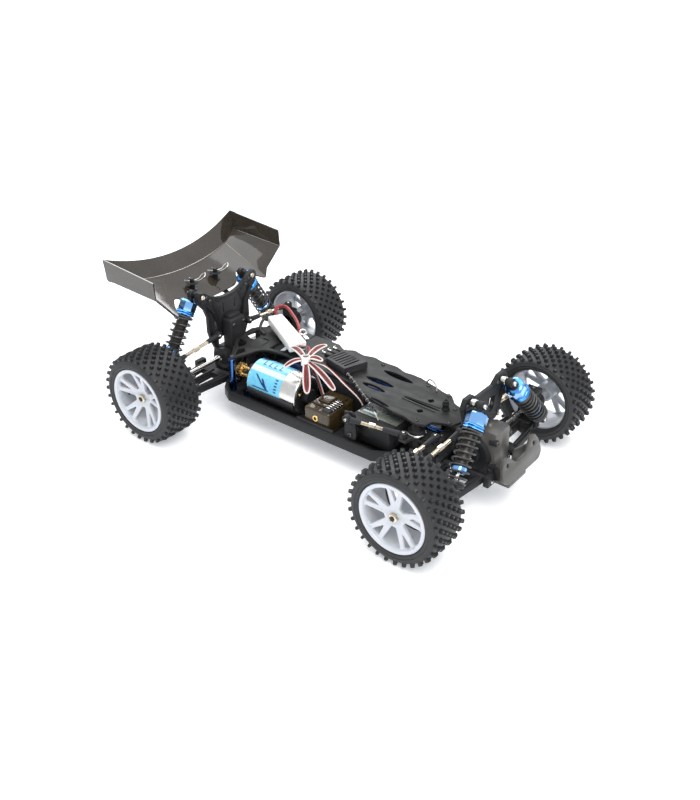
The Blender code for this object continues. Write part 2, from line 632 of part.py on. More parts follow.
def driveshaft(axle, name, side):
    """The dogbone between the differential's cup and the wheel's stub axle."""
    inner_y = 22.0
    outer_y = axle.hub_pin_y + 4.5
    x = axle.x
    shapes = [rod((x, side * inner_y, AXLE_Z), (x, side * outer_y, AXLE_Z), 2.0, sides=6),
              ball((x, side * inner_y, AXLE_Z), 3.0), ball((x, side * outer_y, AXLE_Z), 3.2)]
    for y in (inner_y, outer_y):
        shapes.append(rod((x - 4.4, side * y, AXLE_Z), (x + 4.4, side * y, AXLE_Z), 1.0, sides=6))
    return part(name + "_driveshaft", "bright_steel", shapes, pivot=(x, side * inner_y, AXLE_Z))


def knuckle(axle, name, side):
    """The steering knuckle between the carrier's jaws, with its arm to the tie rod."""
    x, pin = axle.x, KNUCKLE_Y
    arm = [(-5, pin - 3), (-5, pin + 3), (-18, pin + 1.5), (STEER_X - x - 3, pin - 1),
           (STEER_X - x - 3, pin - 7), (-18, pin - 4.5)]
    flipped = [(u, side * v) for u, v in arm]
    shapes = [
        block((x - 6, side * (pin - 4.5), 33.6), (x + 6, side * (pin + 6), 52.5), 0.8),
        rod((x, side * (pin + 2), AXLE_Z), (x, side * (pin + 10), AXLE_Z), 8.0, sides=16),
        plate([flipped], 3.5, frame_of((x, 0, TIE_ROD_Z - 2.5 - 0.9 - 1.75), (1, 0, 0), (0, 1, 0))),
    ]
    recess = rod((x, side * (pin - 8), AXLE_Z), (x, side * (pin + 4), AXLE_Z), 5.6, sides=12)
    return part(name + "_knuckle", "black_composite", shapes, [recess], (x, side * pin, AXLE_Z))


# ---------------------------------------------------------------- wheels
def polar(radius, degrees):
    turn = math.radians(degrees)
    return (radius * math.cos(turn), radius * math.sin(turn))


def rim(axle, name, side):
    """A barrel with two lips, a hub and five split spokes."""
    face, width = axle.rim_face_y, axle.rim_width
    back = face - width
    profile = [(face, 27.2), (face, RIM_LIP_R), (face - 1.4, RIM_LIP_R), (face - 1.6, RIM_R),
               (back + 1.6, RIM_R), (back + 1.4, RIM_LIP_R), (back, RIM_LIP_R), (back, 27.2)]
    barrel = wheel_ring(axle, side, profile)
    windows = []
    for spoke in range(5):
        turn = 90 + 72 * spoke
        windows.append([polar(11.5, turn + 19), polar(11.5, turn + 53), polar(26, turn + 57.5),
                        polar(26.4, turn + 36), polar(26, turn + 14.5)])
        windows.append([polar(16.5, turn), polar(26, turn + 8.5), polar(26, turn - 8.5)])
    disc_y = side * (face - 5.5)
    disc = plate([circle((0, 0), 27.9, WHEEL_STEPS), *windows], 4.0,
                 frame_of((axle.x, disc_y, AXLE_Z), (1, 0, 0), (0, 0, 1)))
    hub = rod((axle.x, side * (face - 5), AXLE_Z), (axle.x, side * (face - 19), AXLE_Z), 8.0, sides=16)
    return part(name + "_rim", "white_nylon", [barrel, disc, hub], pivot=(axle.x, side * face, AXLE_Z))


def tyre(axle, name, side):
    """The tyre's carcass out to the tips of its pins."""
    face, back = axle.rim_face_y, axle.rim_face_y - axle.rim_width
    outer, inner = face + 0.5, face + 0.5 - axle.tyre_width
    middle = (outer + inner) / 2
    profile = [(face - 2.0, RIM_R + 0.4), (face - 2.0, RIM_LIP_R + 0.4), (outer, RIM_LIP_R + 3.0),
               (outer - 0.8, 38.2), (outer - 5, 41.3), (middle, TYRE_R), (inner + 5, 41.3),
               (inner + 0.8, 38.2), (inner, RIM_LIP_R + 3.0), (back + 2.0, RIM_LIP_R + 0.4),
               (back + 2.8, RIM_R + 0.4)]
    ring = wheel_ring(axle, side, profile)
    return part(name + "_tyre", "tyre_rubber", [ring], pivot=(axle.x, side * face, AXLE_Z))


# ---------------------------------------------------------------- steering
LINK_PLATE_Z = (44.6, 48.4)
HORN_X, HORN_Y, HORN_Z = 176.0, -46.4, 37.0
HORN_BALL_Z = 55.0
DRAG_BALL = (224.0, -38.0, 51.2)


def steering_servo():
    """The servo on its side under the deck, with its mounting ears and output boss."""
    top = 49.0
    shapes = [
        block((168, -38.8, top - 20), (211, -5.5, top), 0.8),
        block((159.5, -33.5, top - 19), (211.5, -31, top - 1)),
        rod((HORN_X, -38, HORN_Z), (HORN_X, HORN_Y + 2.6, HORN_Z), 5.0, sides=12),
    ]
    return part("steering_servo", "black_composite", shapes)


def servo_horn():
    outline = [(-3.0, -4.5), (3.0, -4.5), (4.5, 2), (3.5, 17), (1.5, 22), (-1.5, 22), (-3.5, 17), (-4.5, 2)]
    face = plate([outline], 2.4, frame_of((HORN_X, HORN_Y + 1.0, HORN_Z), (1, 0, 0), (0, 0, 1)))
    return part("servo_horn", "black_composite", [face], pivot=(HORN_X, HORN_Y, HORN_Z))


def drag_link():
    """The link from the servo horn to the servo saver."""
    start = (HORN_X, HORN_Y - 4.8, HORN_BALL_Z)
    end = DRAG_BALL
    return link_with_rod_ends("drag_link", start, end, ((0, 1, 0), (0, 0, 1)), start)


def servo_saver():
    """The sprung bellcrank: a post sleeve with its adjuster ring and two arms."""
    x, y = SAVER_X, SAVER_Y
    low, high = FLOOR_TOP_Z + GAP, DECK_Z - DECK_THICKNESS - GAP
    forward = plate([[(0, -4), (STEER_X - x + 1, -3), (STEER_X - x + 1, 3), (0, 4)]], 3.0,
                    frame_of((x, y, LINK_PLATE_Z[0] - GAP - 1.5), (1, 0, 0), (0, 1, 0)))
    sideways = plate([[(-4, 0), (4, 0), (1, -17.5), (-6, -17.5)]], 2.6,
                     frame_of((x, y, DRAG_BALL[2] - 2.5 - 0.7 - 1.3), (1, 0, 0), (0, 1, 0)))
    shapes = [rod((x, y, low), (x, y, high), 4.2, sides=12), rod((x, y, 46), (x, y, 50.5), 7.4, sides=16),
              forward, sideways]
    post_bore = rod((x, y, low - 5), (x, y, high + 5), POST_R + GAP + 0.1, sides=12)
    return part("servo_saver", "black_composite", shapes, [post_bore], (x, y, low))


def steering_link():
    """The cross plate that joins the bellcranks and carries both tie rods."""
    z_low, z_high = LINK_PLATE_Z
    outline = [(-4, -24), (4, -30), (4, 30), (-4, 24)]
    bar = plate([outline], z_high - z_low,
                frame_of((STEER_X, 0, (z_low + z_high) / 2), (1, 0, 0), (0, 1, 0)))
    return part("steering_link", "black_composite", [bar], pivot=(STEER_X, 0, z_low))


def tie_rod(name, side):
    start = (STEER_X, side * 26, TIE_ROD_Z)
    end = (STEER_X, side * (KNUCKLE_Y - 4), TIE_ROD_Z)
    return link_with_rod_ends(name + "_tie_rod", start, end, ((0, 0, 1), (0, 0, 1)), start)


# ---------------------------------------------------------------- power train and electronics
def motor():
    """The can, its end bell and the boss that its shaft comes out of."""
    def axis(x):
        return (x, MOTOR_Y, MOTOR_Z)

    shapes = [rod(axis(46), axis(98), 18.0, sides=24), rod(axis(97), axis(112), 17.4, sides=24),
              rod(axis(111), axis(117.5), 7.0, sides=12), rod(axis(43.5), axis(47), 6.0, sides=12)]
    return part("motor", "motor_label", shapes)


def motor_pinion():
    shapes = [rod((SPUR_X[0], MOTOR_Y, MOTOR_Z), (SPUR_X[1] + 0.5, MOTOR_Y, MOTOR_Z), PINION_R, sides=20),
              rod((SPUR_X[1], MOTOR_Y, MOTOR_Z), (43.0, MOTOR_Y, MOTOR_Z), 4.6, sides=12)]
    return part("motor_pinion", "brass", shapes, pivot=(SPUR_X[0], MOTOR_Y, MOTOR_Z))


def centre_driveshaft():
    """The shaft between the gearboxes, with the spur gear that the pinion turns."""
    start = REAR.x + 20 + GAP
    end = FRONT.x - 20 - GAP
    shapes = [rod((start, 0, SHAFT_Z), (end, 0, SHAFT_Z), 2.6, sides=10),
              rod((SPUR_X[0], 0, SHAFT_Z), (SPUR_X[1], 0, SHAFT_Z), SPUR_R, sides=36),
              rod((start, 0, SHAFT_Z), (start + 7, 0, SHAFT_Z), 4.0, sides=12),
              rod((end - 7, 0, SHAFT_Z), (end, 0, SHAFT_Z), 4.0, sides=12)]
    return part("centre_driveshaft", "blue_anodised", shapes, pivot=(start, 0, SHAFT_Z))


def battery_pack():
    """Two rows of round cells in a wrap, in the left tray under the deck."""
    radius = 10.5
    z = FLOOR_TOP_Z + GAP + radius
    rows = (17.0, 34.5)
    shapes = [rod((57, y, z), (193, y, z), radius, sides=16) for y in rows]
    shapes.append(block((57.5, rows[0], z - 7.5), (192.5, rows[1], z + 7.5)))
    return part("battery_pack", "battery_wrap", shapes)


def receiver_box():
    base = FLOOR_TOP_Z + GAP
    shapes = [block((124.5, -45.5, base), (152, -9, 46.5), 1.5),
              block((128, -38, 46), (149, -14, 48.5), 0.8)]
    return part("receiver_box", "receiver_case", shapes)


def speed_controller():
    """The electronic speed controller, set askew on the deck, with its cooling fins."""
    low, height = DECK_Z + GAP, 6.6
    along, across = Vector((25.0, -6.0)).normalized(), Vector((6.0, 25.0)).normalized()
    corner = Vector((109.5, 4.5))
    frame = frame_of((corner.x, corner.y, low + height / 2), (*along, 0), (*across, 0))
    case = plate([[(0, 0), (25.8, 0), (28.5, 24.5), (-2, 24.0)]], height, frame)
    top = frame_of((corner.x, corner.y, low + height), (*along, 0), (*across, 0))
    fins = [plate([[(4 * i + 1, 3), (4 * i + 2.8, 3), (4 * i + 2.8, 20), (4 * i + 1, 20)]], 5.0, top)
            for i in range(6)]
    return part("speed_controller", "black_composite", [case], fins)


PLUG_START, PLUG_END, PLUG_Z = (13.0, 41.0), (66.0, 10.0), 68.0
KNOT = (108.0, -24.0, 78.0)


def power_plug_shape():
    """The white battery connector's sleeve, lying across the brace."""
    start, end = Vector((*PLUG_START, 0)), Vector((*PLUG_END, 0))
    along = (end - start).normalized()
    length = (end - start).length
    middle = (start + end) / 2
    outline = [(-length / 2, -7.5), (length / 2, -7.5), (length / 2, 7.5), (-length / 2, 7.5)]
    return plate([outline], 8.0, frame_of((middle.x, middle.y, PLUG_Z), along, (-along.y, along.x, 0)))


def loop_points(direction, reach, lift, width=3.0, count=10):
    """One loop of a tied cable: out from the knot and back again, as a long teardrop."""
    turn = math.radians(direction)
    points = []
    for i in range(count):
        phase = math.pi * (i + 0.2) / (count - 0.6)
        out = reach * math.sin(phase)
        across = -1.6 * math.cos(phase) - width * math.sin(2 * phase)
        points.append((KNOT[0] + out * math.cos(turn) - across * math.sin(turn),
                       KNOT[1] + out * math.sin(turn) + across * math.cos(turn),
                       KNOT[2] + lift * math.sin(phase) ** 2))
    return points


CABLE_LOOPS = [(-100, 26, -8), (-160, 24, 3), (165, 24, 6), (118, 26, 2), (60, 22, 4), (5, 20, -2)]


def wiring_loom():
    """The tied bundle of servo and switch leads, with the battery lead and its connector."""
    shapes = [ball(KNOT, 4.5)]
    for direction, reach, lift in CABLE_LOOPS:
        shapes.append(tube(loop_points(direction, reach, lift), 1.3))
    lead = [KNOT, (98, -12, 79), (86, -4, 77), (75, 4, 72), (62, 12, PLUG_Z)]
    shapes.append(tube(lead, 1.6))
    shapes.append(power_plug_shape())
    to_case = [KNOT, (116, -24, 72), (124, -25, 62), (130, -26, 51)]
    shapes.append(tube(to_case, 1.4))
    return part("wiring_loom", "red_wire", shapes)


# ---------------------------------------------------------------- the whole car
def build():
    chassis_tub()
    upper_deck()
    gearbox(FRONT, -1)
    gearbox(REAR, 1)
    shock_tower(FRONT, (-3.0, 1.0), FRONT_TOWER_HALF,
                [[(5, 70), (13, 71), (16, 83), (7, 85)], [(20, 75), (24, 78), (27, 88), (22, 86)]],
                [(29, 93), (17, 94)])
    shock_tower(REAR, (-8.0, -4.0), REAR_TOWER_HALF,
                [[(15.8, 66), (19, 66), (20.5, 78), (17.5, 79.5)],
                 [(6.8, 84), (8.4, 84), (8.2, 93), (7.4, 93)]],
                [(24, 101), (28.5, 105.5)])
    front_bumper()
    rear_wing()
    for axle in (FRONT, REAR):
        for side_name, side in SIDES:
            name = axle.name + "_" + side_name
            lower_arm(axle, name, side)
            if axle is FRONT:
                front_hub_carrier(axle, name, side)
                knuckle(axle, name, side)
                tie_rod(name, side)
            else:
                rear_hub_carrier(axle, name, side)
            camber_link(axle, name, side)
            shock_body(axle, name, side)
            shock_shaft(axle, name, side)
            spring(axle, name, side)
            driveshaft(axle, name, side)
            rim(axle, name, side)
            tyre(axle, name, side)
    steering_servo()
    servo_horn()
    drag_link()
    servo_saver()
    steering_link()
    motor()
    motor_pinion()
    centre_driveshaft()
    battery_pack()
    receiver_box()
    speed_controller()
    wiring_loom()


build()
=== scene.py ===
"""How the RC buggy looks: its visible pieces, their materials, the light and the camera.

Lengths are in millimetres, ahead of the rear axle, to the driver's left and up. at() turns
them into the frame's metres.
"""
import math

import bmesh
import bpy
from mathutils import Matrix, Vector


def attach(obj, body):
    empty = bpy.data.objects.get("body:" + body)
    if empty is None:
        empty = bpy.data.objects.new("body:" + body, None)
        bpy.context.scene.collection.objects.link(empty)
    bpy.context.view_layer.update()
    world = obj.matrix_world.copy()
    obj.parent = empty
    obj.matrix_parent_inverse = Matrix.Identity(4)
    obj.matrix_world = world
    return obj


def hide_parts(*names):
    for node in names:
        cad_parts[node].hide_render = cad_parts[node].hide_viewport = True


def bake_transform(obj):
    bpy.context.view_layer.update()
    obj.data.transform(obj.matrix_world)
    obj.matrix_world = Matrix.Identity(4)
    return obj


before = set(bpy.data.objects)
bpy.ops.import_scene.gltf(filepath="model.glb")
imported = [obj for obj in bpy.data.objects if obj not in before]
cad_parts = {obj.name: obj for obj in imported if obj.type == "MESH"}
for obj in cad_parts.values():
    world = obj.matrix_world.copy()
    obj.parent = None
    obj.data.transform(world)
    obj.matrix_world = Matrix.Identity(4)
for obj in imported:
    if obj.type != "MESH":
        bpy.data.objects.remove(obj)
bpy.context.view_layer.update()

MM = 0.001
REAR_AXLE_X = -119.95       # the rear axle's place in the frame
AXLE_Z = 42.0
ARM_Z = 30.0
SHOCK_EYE_HALF = 2.5
CUP_DROP = 12.0             # a spring cup's top face above the shock's lower eye
KNUCKLE_Y = 85.0
TIE_ROD_Z = 51.8
STEER_X = 247.0
SIDES = (("left", 1), ("right", -1))
X, Y, UP = (1, 0, 0), (0, 1, 0), (0, 0, 1)
TUB_FLOOR_Z = 24.9
DECK_Z = 58.75              # the middle of the upper deck's plate
DECK_THICKNESS = 2.5
DECK_TOP_Z = 59.9
SHAFT_Z = 40.0              # the centre driveshaft
HALF_LINK = 26.0            # from the middle of the steering link to a tie rod's ball
CRANK_X, CRANK_Y = 227, 23  # the pivots of the servo saver and of the second bellcrank
HORN_X, HORN_Z = 176, 37    # the servo's output shaft


class Axle:
    """The sizes that differ between the front and the rear suspension."""

    def __init__(self, name, x, pins, shock, shock_end, camber_x, camber, wheel):
        self.name, self.x = name, x
        self.pin_y, self.hub_pin_y = pins
        self.shock_top, self.shock_eye = shock
        self.shock_end = shock_end
        self.camber_x, (self.camber_inner, self.camber_outer) = camber_x, camber
        self.face, self.rim_width, self.tyre_width, self.dish = wheel


FRONT = Axle("front", 275.0, (24.0, 78.0), ((10.0, 23.0, 94.0), (17.0, 74.0, 39.0)), 55.0,
             -8.0, ((22.0, 62.5), (78.0, 61.2)), (126.7, 31.0, 38.7, 3.2))
REAR = Axle("rear", 0.0, (26.0, 82.0), ((-18.0, 33.0, 107.0), (-18.0, 77.0, 38.0)), 57.5,
            0.8, ((21.0, 66.0), (79.0, 60.6)), (124.5, 36.0, 40.5, 6.2))


def at(x, y, z):
    return Vector(((REAR_AXLE_X + x) * MM, y * MM, z * MM))


TO_FRAME = Matrix.Translation(at(0, 0, 0)) @ Matrix.Scale(MM, 4)
FROM_FRAME = TO_FRAME.inverted()


# ---------------------------------------------------------------- materials
class Nodes:
    """A material's node tree, with short ways to add and join nodes."""

    def __init__(self, name):
        self.material = bpy.data.materials.new(name)
        self.material.use_nodes = True
        self.tree = self.material.node_tree
        self.shader = self.tree.nodes["Principled BSDF"]
        self.coordinates = self.tree.nodes.new("ShaderNodeTexCoord").outputs["Object"]

    def link(self, output, node, socket):
        self.tree.links.new(output, node.inputs[socket])

    def noise(self, size, detail=3.0, stretch=None):
        """Noise with lumps of about one size in millimetres, drawn out along an axis if stretched."""
        node = self.tree.nodes.new("ShaderNodeTexNoise")
        node.inputs["Scale"].default_value = 1.0 / (size * MM)
        node.inputs["Detail"].default_value = detail
        source = self.coordinates
        if stretch:
            mapping = self.tree.nodes.new("ShaderNodeMapping")
            mapping.inputs["Scale"].default_value = stretch
            self.link(source, mapping, "Vector")
            source = mapping.outputs["Vector"]
        self.link(source, node, "Vector")
        return node.outputs["Fac"]

    def remap(self, value, low, high, from_low=0.3, from_high=0.7):
        node = self.tree.nodes.new("ShaderNodeMapRange")
        numbers = {"From Min": from_low, "From Max": from_high, "To Min": low, "To Max": high}
        for socket, number in numbers.items():
            node.inputs[socket].default_value = number
        self.link(value, node, "Value")
        return node.outputs["Result"]

    def mix(self, factor, first, second):
        """Blends two colours, each an (r, g, b) or another node's output."""
        node = self.tree.nodes.new("ShaderNodeMix")
        node.data_type = "RGBA"
        self.tree.links.new(factor, node.inputs[0])
        for colour, socket in ((first, 6), (second, 7)):
            if isinstance(colour, tuple):
                node.inputs[socket].default_value = (*colour, 1.0)
            else:
                self.tree.links.new(colour, node.inputs[socket])
        return node.outputs[2]

    def bump(self, height, depth, previous=None):
        node = self.tree.nodes.new("ShaderNodeBump")
        node.inputs["Distance"].default_value = depth * MM
        self.link(height, node, "Height")
        if previous:
            self.link(previous, node, "Normal")
        return node.outputs["Normal"]

    def set(self, **values):
        for name, value in values.items():
            self.shader.inputs[name.replace("_", " ")].default_value = value


def shade(colour, factor):
    return tuple(min(1.0, channel * factor) for channel in colour)


def surface(name, colour, rough, metallic=0.0, vary=0.2, patch=9.0, grain=0.02, grain_size=0.45,
            stretch=None, wear_and_highlight=None, rough_vary=0.08, **extra):
    """A finish with patchy colour and gloss, a fine grain, and convex edges lightened to a paler colour:
    partly edge wear, partly painted highlight.
    """
    nodes = Nodes(name)
    patches = nodes.noise(patch, 4.0)
    colours = nodes.mix(nodes.remap(patches, 0.0, 1.0), shade(colour, 1 - vary), shade(colour, 1 + vary))
    if wear_and_highlight:
        # paler convex edges: partly edge wear, partly painted highlight
        geometry = nodes.tree.nodes.new("ShaderNodeNewGeometry")
        rubbed_and_highlit = nodes.remap(geometry.outputs["Pointiness"], 0.0, 0.8, 0.53, 0.62)
        colours = nodes.mix(rubbed_and_highlit, colours, wear_and_highlight)
    nodes.link(colours, nodes.shader, "Base Color")
    nodes.link(nodes.remap(patches, rough - rough_vary, rough + rough_vary), nodes.shader, "Roughness")
    nodes.link(nodes.bump(nodes.noise(grain_size, 2.0, stretch), grain), nodes.shader, "Normal")
    nodes.set(Metallic=metallic, **extra)
    return nodes.material


COMPOSITE = surface("black_composite", (0.0095, 0.0098, 0.0105), 0.52, wear_and_highlight=(0.035, 0.035, 0.038),
                    grain=0.035, Specular_IOR_Level=0.20)
DECK_GREY = surface("deck_composite", (0.0135, 0.0135, 0.0132), 0.50, wear_and_highlight=(0.06, 0.06, 0.06), grain=0.03,
                    Specular_IOR_Level=0.22)
CASE_GREY = surface("case_composite", (0.050, 0.048, 0.043), 0.38, wear_and_highlight=(0.11, 0.10, 0.09), grain=0.02)
# near black: painted shade in screw sockets, holes and vents, and the dark thread end on each wheel nut
DARK_AND_HOLE_SHADE = surface("dark_and_hole_shade", (0.006, 0.006, 0.007), 0.7)
NYLON = surface("white_nylon", (0.50, 0.515, 0.55), 0.33, vary=0.03, patch=14.0, grain=0.012,
                grain_size=0.8, Subsurface_Weight=0.12, Subsurface_Scale=0.004)
RUBBER = surface("tyre_rubber", (0.014, 0.014, 0.015), 0.62, vary=0.35, patch=5.0, grain=0.05,
                 grain_size=0.6, wear_and_highlight=(0.035, 0.035, 0.036))
PIN_RUBBER = surface("pin_rubber", (0.008, 0.008, 0.009), 0.5, vary=0.3, patch=3.0, grain=0.04,
                     grain_size=0.5)
BLUE = surface("blue_anodised", (0.022, 0.25, 0.68), 0.17, 1.0, vary=0.10, grain=0.006, grain_size=0.3,
               wear_and_highlight=(0.35, 0.6, 0.95), rough_vary=0.05)
DARK_BLUE = surface("dark_blue_anodised", (0.010, 0.045, 0.20), 0.22, 1.0, vary=0.15, grain=0.005,
                    wear_and_highlight=(0.1, 0.25, 0.6), rough_vary=0.05)
SPRING = surface("spring_steel", (0.018, 0.018, 0.018), 0.34, 0.6, vary=0.2, grain=0.006,
                 wear_and_highlight=(0.12, 0.12, 0.12))
BARREL = surface("shock_barrel", (0.034, 0.030, 0.027), 0.32, 0.5, vary=0.2, grain=0.01)
STEEL = surface("bright_steel", (0.60, 0.585, 0.55), 0.22, 1.0, vary=0.12, patch=4.0, grain=0.006,
                stretch=(1.0, 1.0, 0.2))
GOLD_STEEL = surface("nickel_steel", (0.62, 0.54, 0.42), 0.20, 1.0, vary=0.12, patch=3.0, grain=0.006)
SCREW = surface("screw_steel", (0.035, 0.035, 0.037), 0.34, 0.7, vary=0.2, patch=2.0, grain=0.004,
                wear_and_highlight=(0.14, 0.14, 0.14))
BRASS = surface("brass", (0.70, 0.46, 0.18), 0.24, 1.0, vary=0.12, patch=3.0, grain=0.008)
CAN = surface("motor_can", (0.62, 0.61, 0.58), 0.30, 1.0, vary=0.06, patch=6.0, grain=0.006, grain_size=0.4,
              stretch=(0.15, 1.0, 1.0))
LABEL_BLUE = surface("motor_label", (0.16, 0.52, 0.74), 0.28, 0.15, vary=0.10, patch=7.0, grain=0.004)
LABEL_WHITE = surface("label_white", (0.55, 0.66, 0.72), 0.28, 0.1, vary=0.05, grain=0.004)
LABEL_INK = surface("label_ink", (0.010, 0.040, 0.14), 0.30, vary=0.2, grain=0.004)
SERVO_LABEL = surface("servo_label", (0.13, 0.145, 0.125), 0.25, 0.25, vary=0.12, patch=6.0, grain=0.005)
PAPER_WHITE = surface("white_sleeve", (0.86, 0.85, 0.80), 0.45, vary=0.03, patch=8.0, grain=0.01)
WIRE_RED = surface("red_wire", (0.27, 0.011, 0.012), 0.38, vary=0.15, patch=3.0, grain=0.01)
WIRE_WHITE = surface("white_wire", (0.62, 0.58, 0.55), 0.38, vary=0.05, patch=3.0, grain=0.01)
WIRE_BLACK = surface("black_wire", (0.020, 0.014, 0.014), 0.38, vary=0.2, patch=3.0, grain=0.01)
CELL_WRAP = surface("battery_wrap", (0.012, 0.05, 0.20), 0.22, 0.1, vary=0.3, patch=12.0, grain=0.05,
                    grain_size=3.0)
AMBER = surface("receiver_case", (0.050, 0.034, 0.014), 0.14, vary=0.3, patch=10.0, grain=0.006,
                Transmission_Weight=0.25)
SEAT_GREY = surface("pale_metal", (0.45, 0.47, 0.50), 0.35, 0.9, vary=0.1, grain=0.006)


def smoked_sheet():
    """Clear tinted polycarbonate: mostly see-through, with a hard gloss and faint ripples."""
    nodes = Nodes("smoked_sheet")
    ripples = nodes.noise(26.0, 2.0)
    tint = nodes.mix(nodes.remap(ripples, 0.0, 1.0), (0.034, 0.027, 0.020), (0.050, 0.041, 0.031))
    nodes.link(tint, nodes.shader, "Base Color")
    nodes.link(nodes.remap(nodes.noise(4.0), 0.03, 0.07), nodes.shader, "Roughness")
    nodes.link(nodes.bump(ripples, 0.10), nodes.shader, "Normal")
    nodes.set(IOR=1.5, Transmission_Weight=0.22, Coat_Weight=0.45, Coat_Roughness=0.04)
    return nodes.material


SMOKED = smoked_sheet()
# pale tubes laid along the wing's creases: painted highlights
CREASE_HIGHLIGHT = surface("sheet_crease_highlight", (0.42, 0.39, 0.34), 0.22, 0.3, vary=0.25, patch=12.0, grain=0.004)


# ---------------------------------------------------------------- shapes, as bmeshes in millimetres
def place_object(name, bm):
    """Turns a bmesh into a linked object and frees it."""
    mesh = bpy.data.meshes.new(name)
    bm.to_mesh(mesh)
    bm.free()
    made = bpy.data.objects.new(name, mesh)
    bpy.context.scene.collection.objects.link(made)
    return made


def skin(bm, rows, closed=True):
    """Four-sided faces between neighbouring rows of vertices, all the way round them if closed."""
    for first, second in zip(rows, rows[1:]):
        for k in range(len(first) if closed else len(first) - 1):
            after = (k + 1) % len(first)
            bm.faces.new((first[k], first[after], second[after], second[k]))


def polar(radius, degrees, centre=(0.0, 0.0)):
    turn = math.radians(degrees)
    return (centre[0] + radius * math.cos(turn), centre[1] + radius * math.sin(turn))


def circle(radius, steps, centre=(0.0, 0.0)):
    return [polar(radius, 360 * i / steps, centre) for i in range(steps)]


def soften(bm, width, segments=2, angle=28.0):
    """Rounds every edge that turns by more than an angle."""
    limit = math.radians(angle)
    edges = [edge for edge in bm.edges if len(edge.link_faces) == 2 and edge.calc_face_angle(0.0) > limit]
    bmesh.ops.bevel(bm, geom=edges, offset=width, segments=segments, affect="EDGES", profile=0.5,
                    clamp_overlap=True)
    return bm


def box(low, high, bevel=0.5):
    bm = bmesh.new()
    bmesh.ops.create_cube(bm, size=1.0)
    size = [abs(b - a) for a, b in zip(low, high)]
    bmesh.ops.scale(bm, vec=size, verts=bm.verts)
    bmesh.ops.translate(bm, vec=(Vector(low) + Vector(high)) / 2, verts=bm.verts)
    return soften(bm, min(bevel, min(size) * 0.4))


def lay(start, end, turn=0.0):
    """The matrix that lays local Z from one point towards another."""
    start, end = Vector(start), Vector(end)
    return Matrix.Translation(start) @ (end - start).to_track_quat("Z", "Y").to_matrix().to_4x4() \
        @ Matrix.Rotation(math.radians(turn), 4, "Z")


def lathe(start, end, profile, steps=28, closed=False, turn=0.0):
    """A profile of (distance, radius) points turned about the line from start to end."""
    bm = bmesh.new()
    rings = []
    for distance, radius in profile:
        if radius < 1e-6:
            rings.append([bm.verts.new((0, 0, distance))] * steps)
            continue
        turns = [2 * math.pi * i / steps for i in range(steps)]
        rings.append([bm.verts.new((radius * math.cos(t), radius * math.sin(t), distance)) for t in turns])
    pairs = list(zip(rings, rings[1:]))
    if closed:
        pairs.append((rings[-1], rings[0]))
    for lower, upper in pairs:
        for i in range(steps):
            j = (i + 1) % steps
            corners = list(dict.fromkeys((lower[i], lower[j], upper[j], upper[i])))
            if len(corners) > 2:
                bm.faces.new(corners)
    bmesh.ops.recalc_face_normals(bm, faces=bm.faces)
    bmesh.ops.transform(bm, matrix=lay(start, end, turn), verts=bm.verts)
    return bm


def rod(start, end, radius, end_radius=None, sides=20, bevel=0.3, turn=0.0):
    """A round or many-sided bar with chamfered ends."""
    length = (Vector(end) - Vector(start)).length
    last = radius if end_radius is None else end_radius
    cut = min(bevel, radius * 0.6, last * 0.6, length * 0.4)
    profile = [(0, 0), (0, radius - cut), (cut, radius), (length - cut, last), (length, last - cut),
               (length, 0)]
    return lathe(start, end, profile, sides, turn=turn)


def ring(centre, axis, radius, wire, steps=28, sides=8):
    """A round ring about an axis."""
    centre, axis = Vector(centre), Vector(axis).normalized()
    profile = [(wire * math.sin(2 * math.pi * i / sides), radius + wire * math.cos(2 * math.pi * i / sides))
               for i in range(sides)]
    return lathe(centre, centre + axis, profile, steps, closed=True)


def ball(centre, radius, steps=16):
    turns = [math.pi * i / 8 for i in range(9)]
    profile = [(-radius * math.cos(t), radius * math.sin(t) if 0 < i < 8 else 0.0)
               for i, t in enumerate(turns)]
    return lathe(centre, Vector(centre) + Vector((0, 0, 1)), profile, steps)


def tube(points, radius, sides=8):
    """A round wire through points, kept from twisting, with flat ends."""
    points = [Vector(p) for p in points]
    bm = bmesh.new()
    rings = []
    normal = None
    for i, point in enumerate(points):
        along = (points[min(i + 1, len(points) - 1)] - points[max(i - 1, 0)]).normalized()
        if normal is None:
            normal = along.orthogonal()
        normal = (normal - along * normal.dot(along)).normalized()
        side = along.cross(normal)
        rings.append([bm.verts.new(point + (normal * math.cos(2 * math.pi * k / sides)
                                            + side * math.sin(2 * math.pi * k / sides)) * radius)
                      for k in range(sides)])
    skin(bm, rings)
    bm.faces.new(rings[0][::-1])
    bm.faces.new(rings[-1])
    bmesh.ops.recalc_face_normals(bm, faces=bm.faces)
    return bm


def smooth_path(points, per_span=6):
    """More points on a smooth curve through the given ones."""
    points = [Vector(p) for p in points]
    ends = [points[0] * 2 - points[1], *points, points[-1] * 2 - points[-2]]
    path = []
    for i in range(1, len(ends) - 2):
        a, b, c, d = ends[i - 1:i + 3]
        for k in range(per_span):
            t = k / per_span
            path.append(0.5 * ((2 * b) + (c - a) * t + (2 * a - 5 * b + 4 * c - d) * t ** 2
                               + (3 * b - a - 3 * c + d) * t ** 3))
    path.append(points[-1])
    return path


def rounded(points, radius, steps=3):
    """A flat outline with its corners rounded."""
    points = [Vector(p) for p in points]
    outline = []
    for i, corner in enumerate(points):
        before, after = points[i - 1] - corner, points[(i + 1) % len(points)] - corner
        reach = min(radius, before.length * 0.45, after.length * 0.45)
        first, last = corner + before.normalized() * reach, corner + after.normalized() * reach
        for k in range(steps + 1):
            t = k / steps
            outline.append(tuple(first * (1 - t) ** 2 + corner * 2 * t * (1 - t) + last * t ** 2))
    return outline


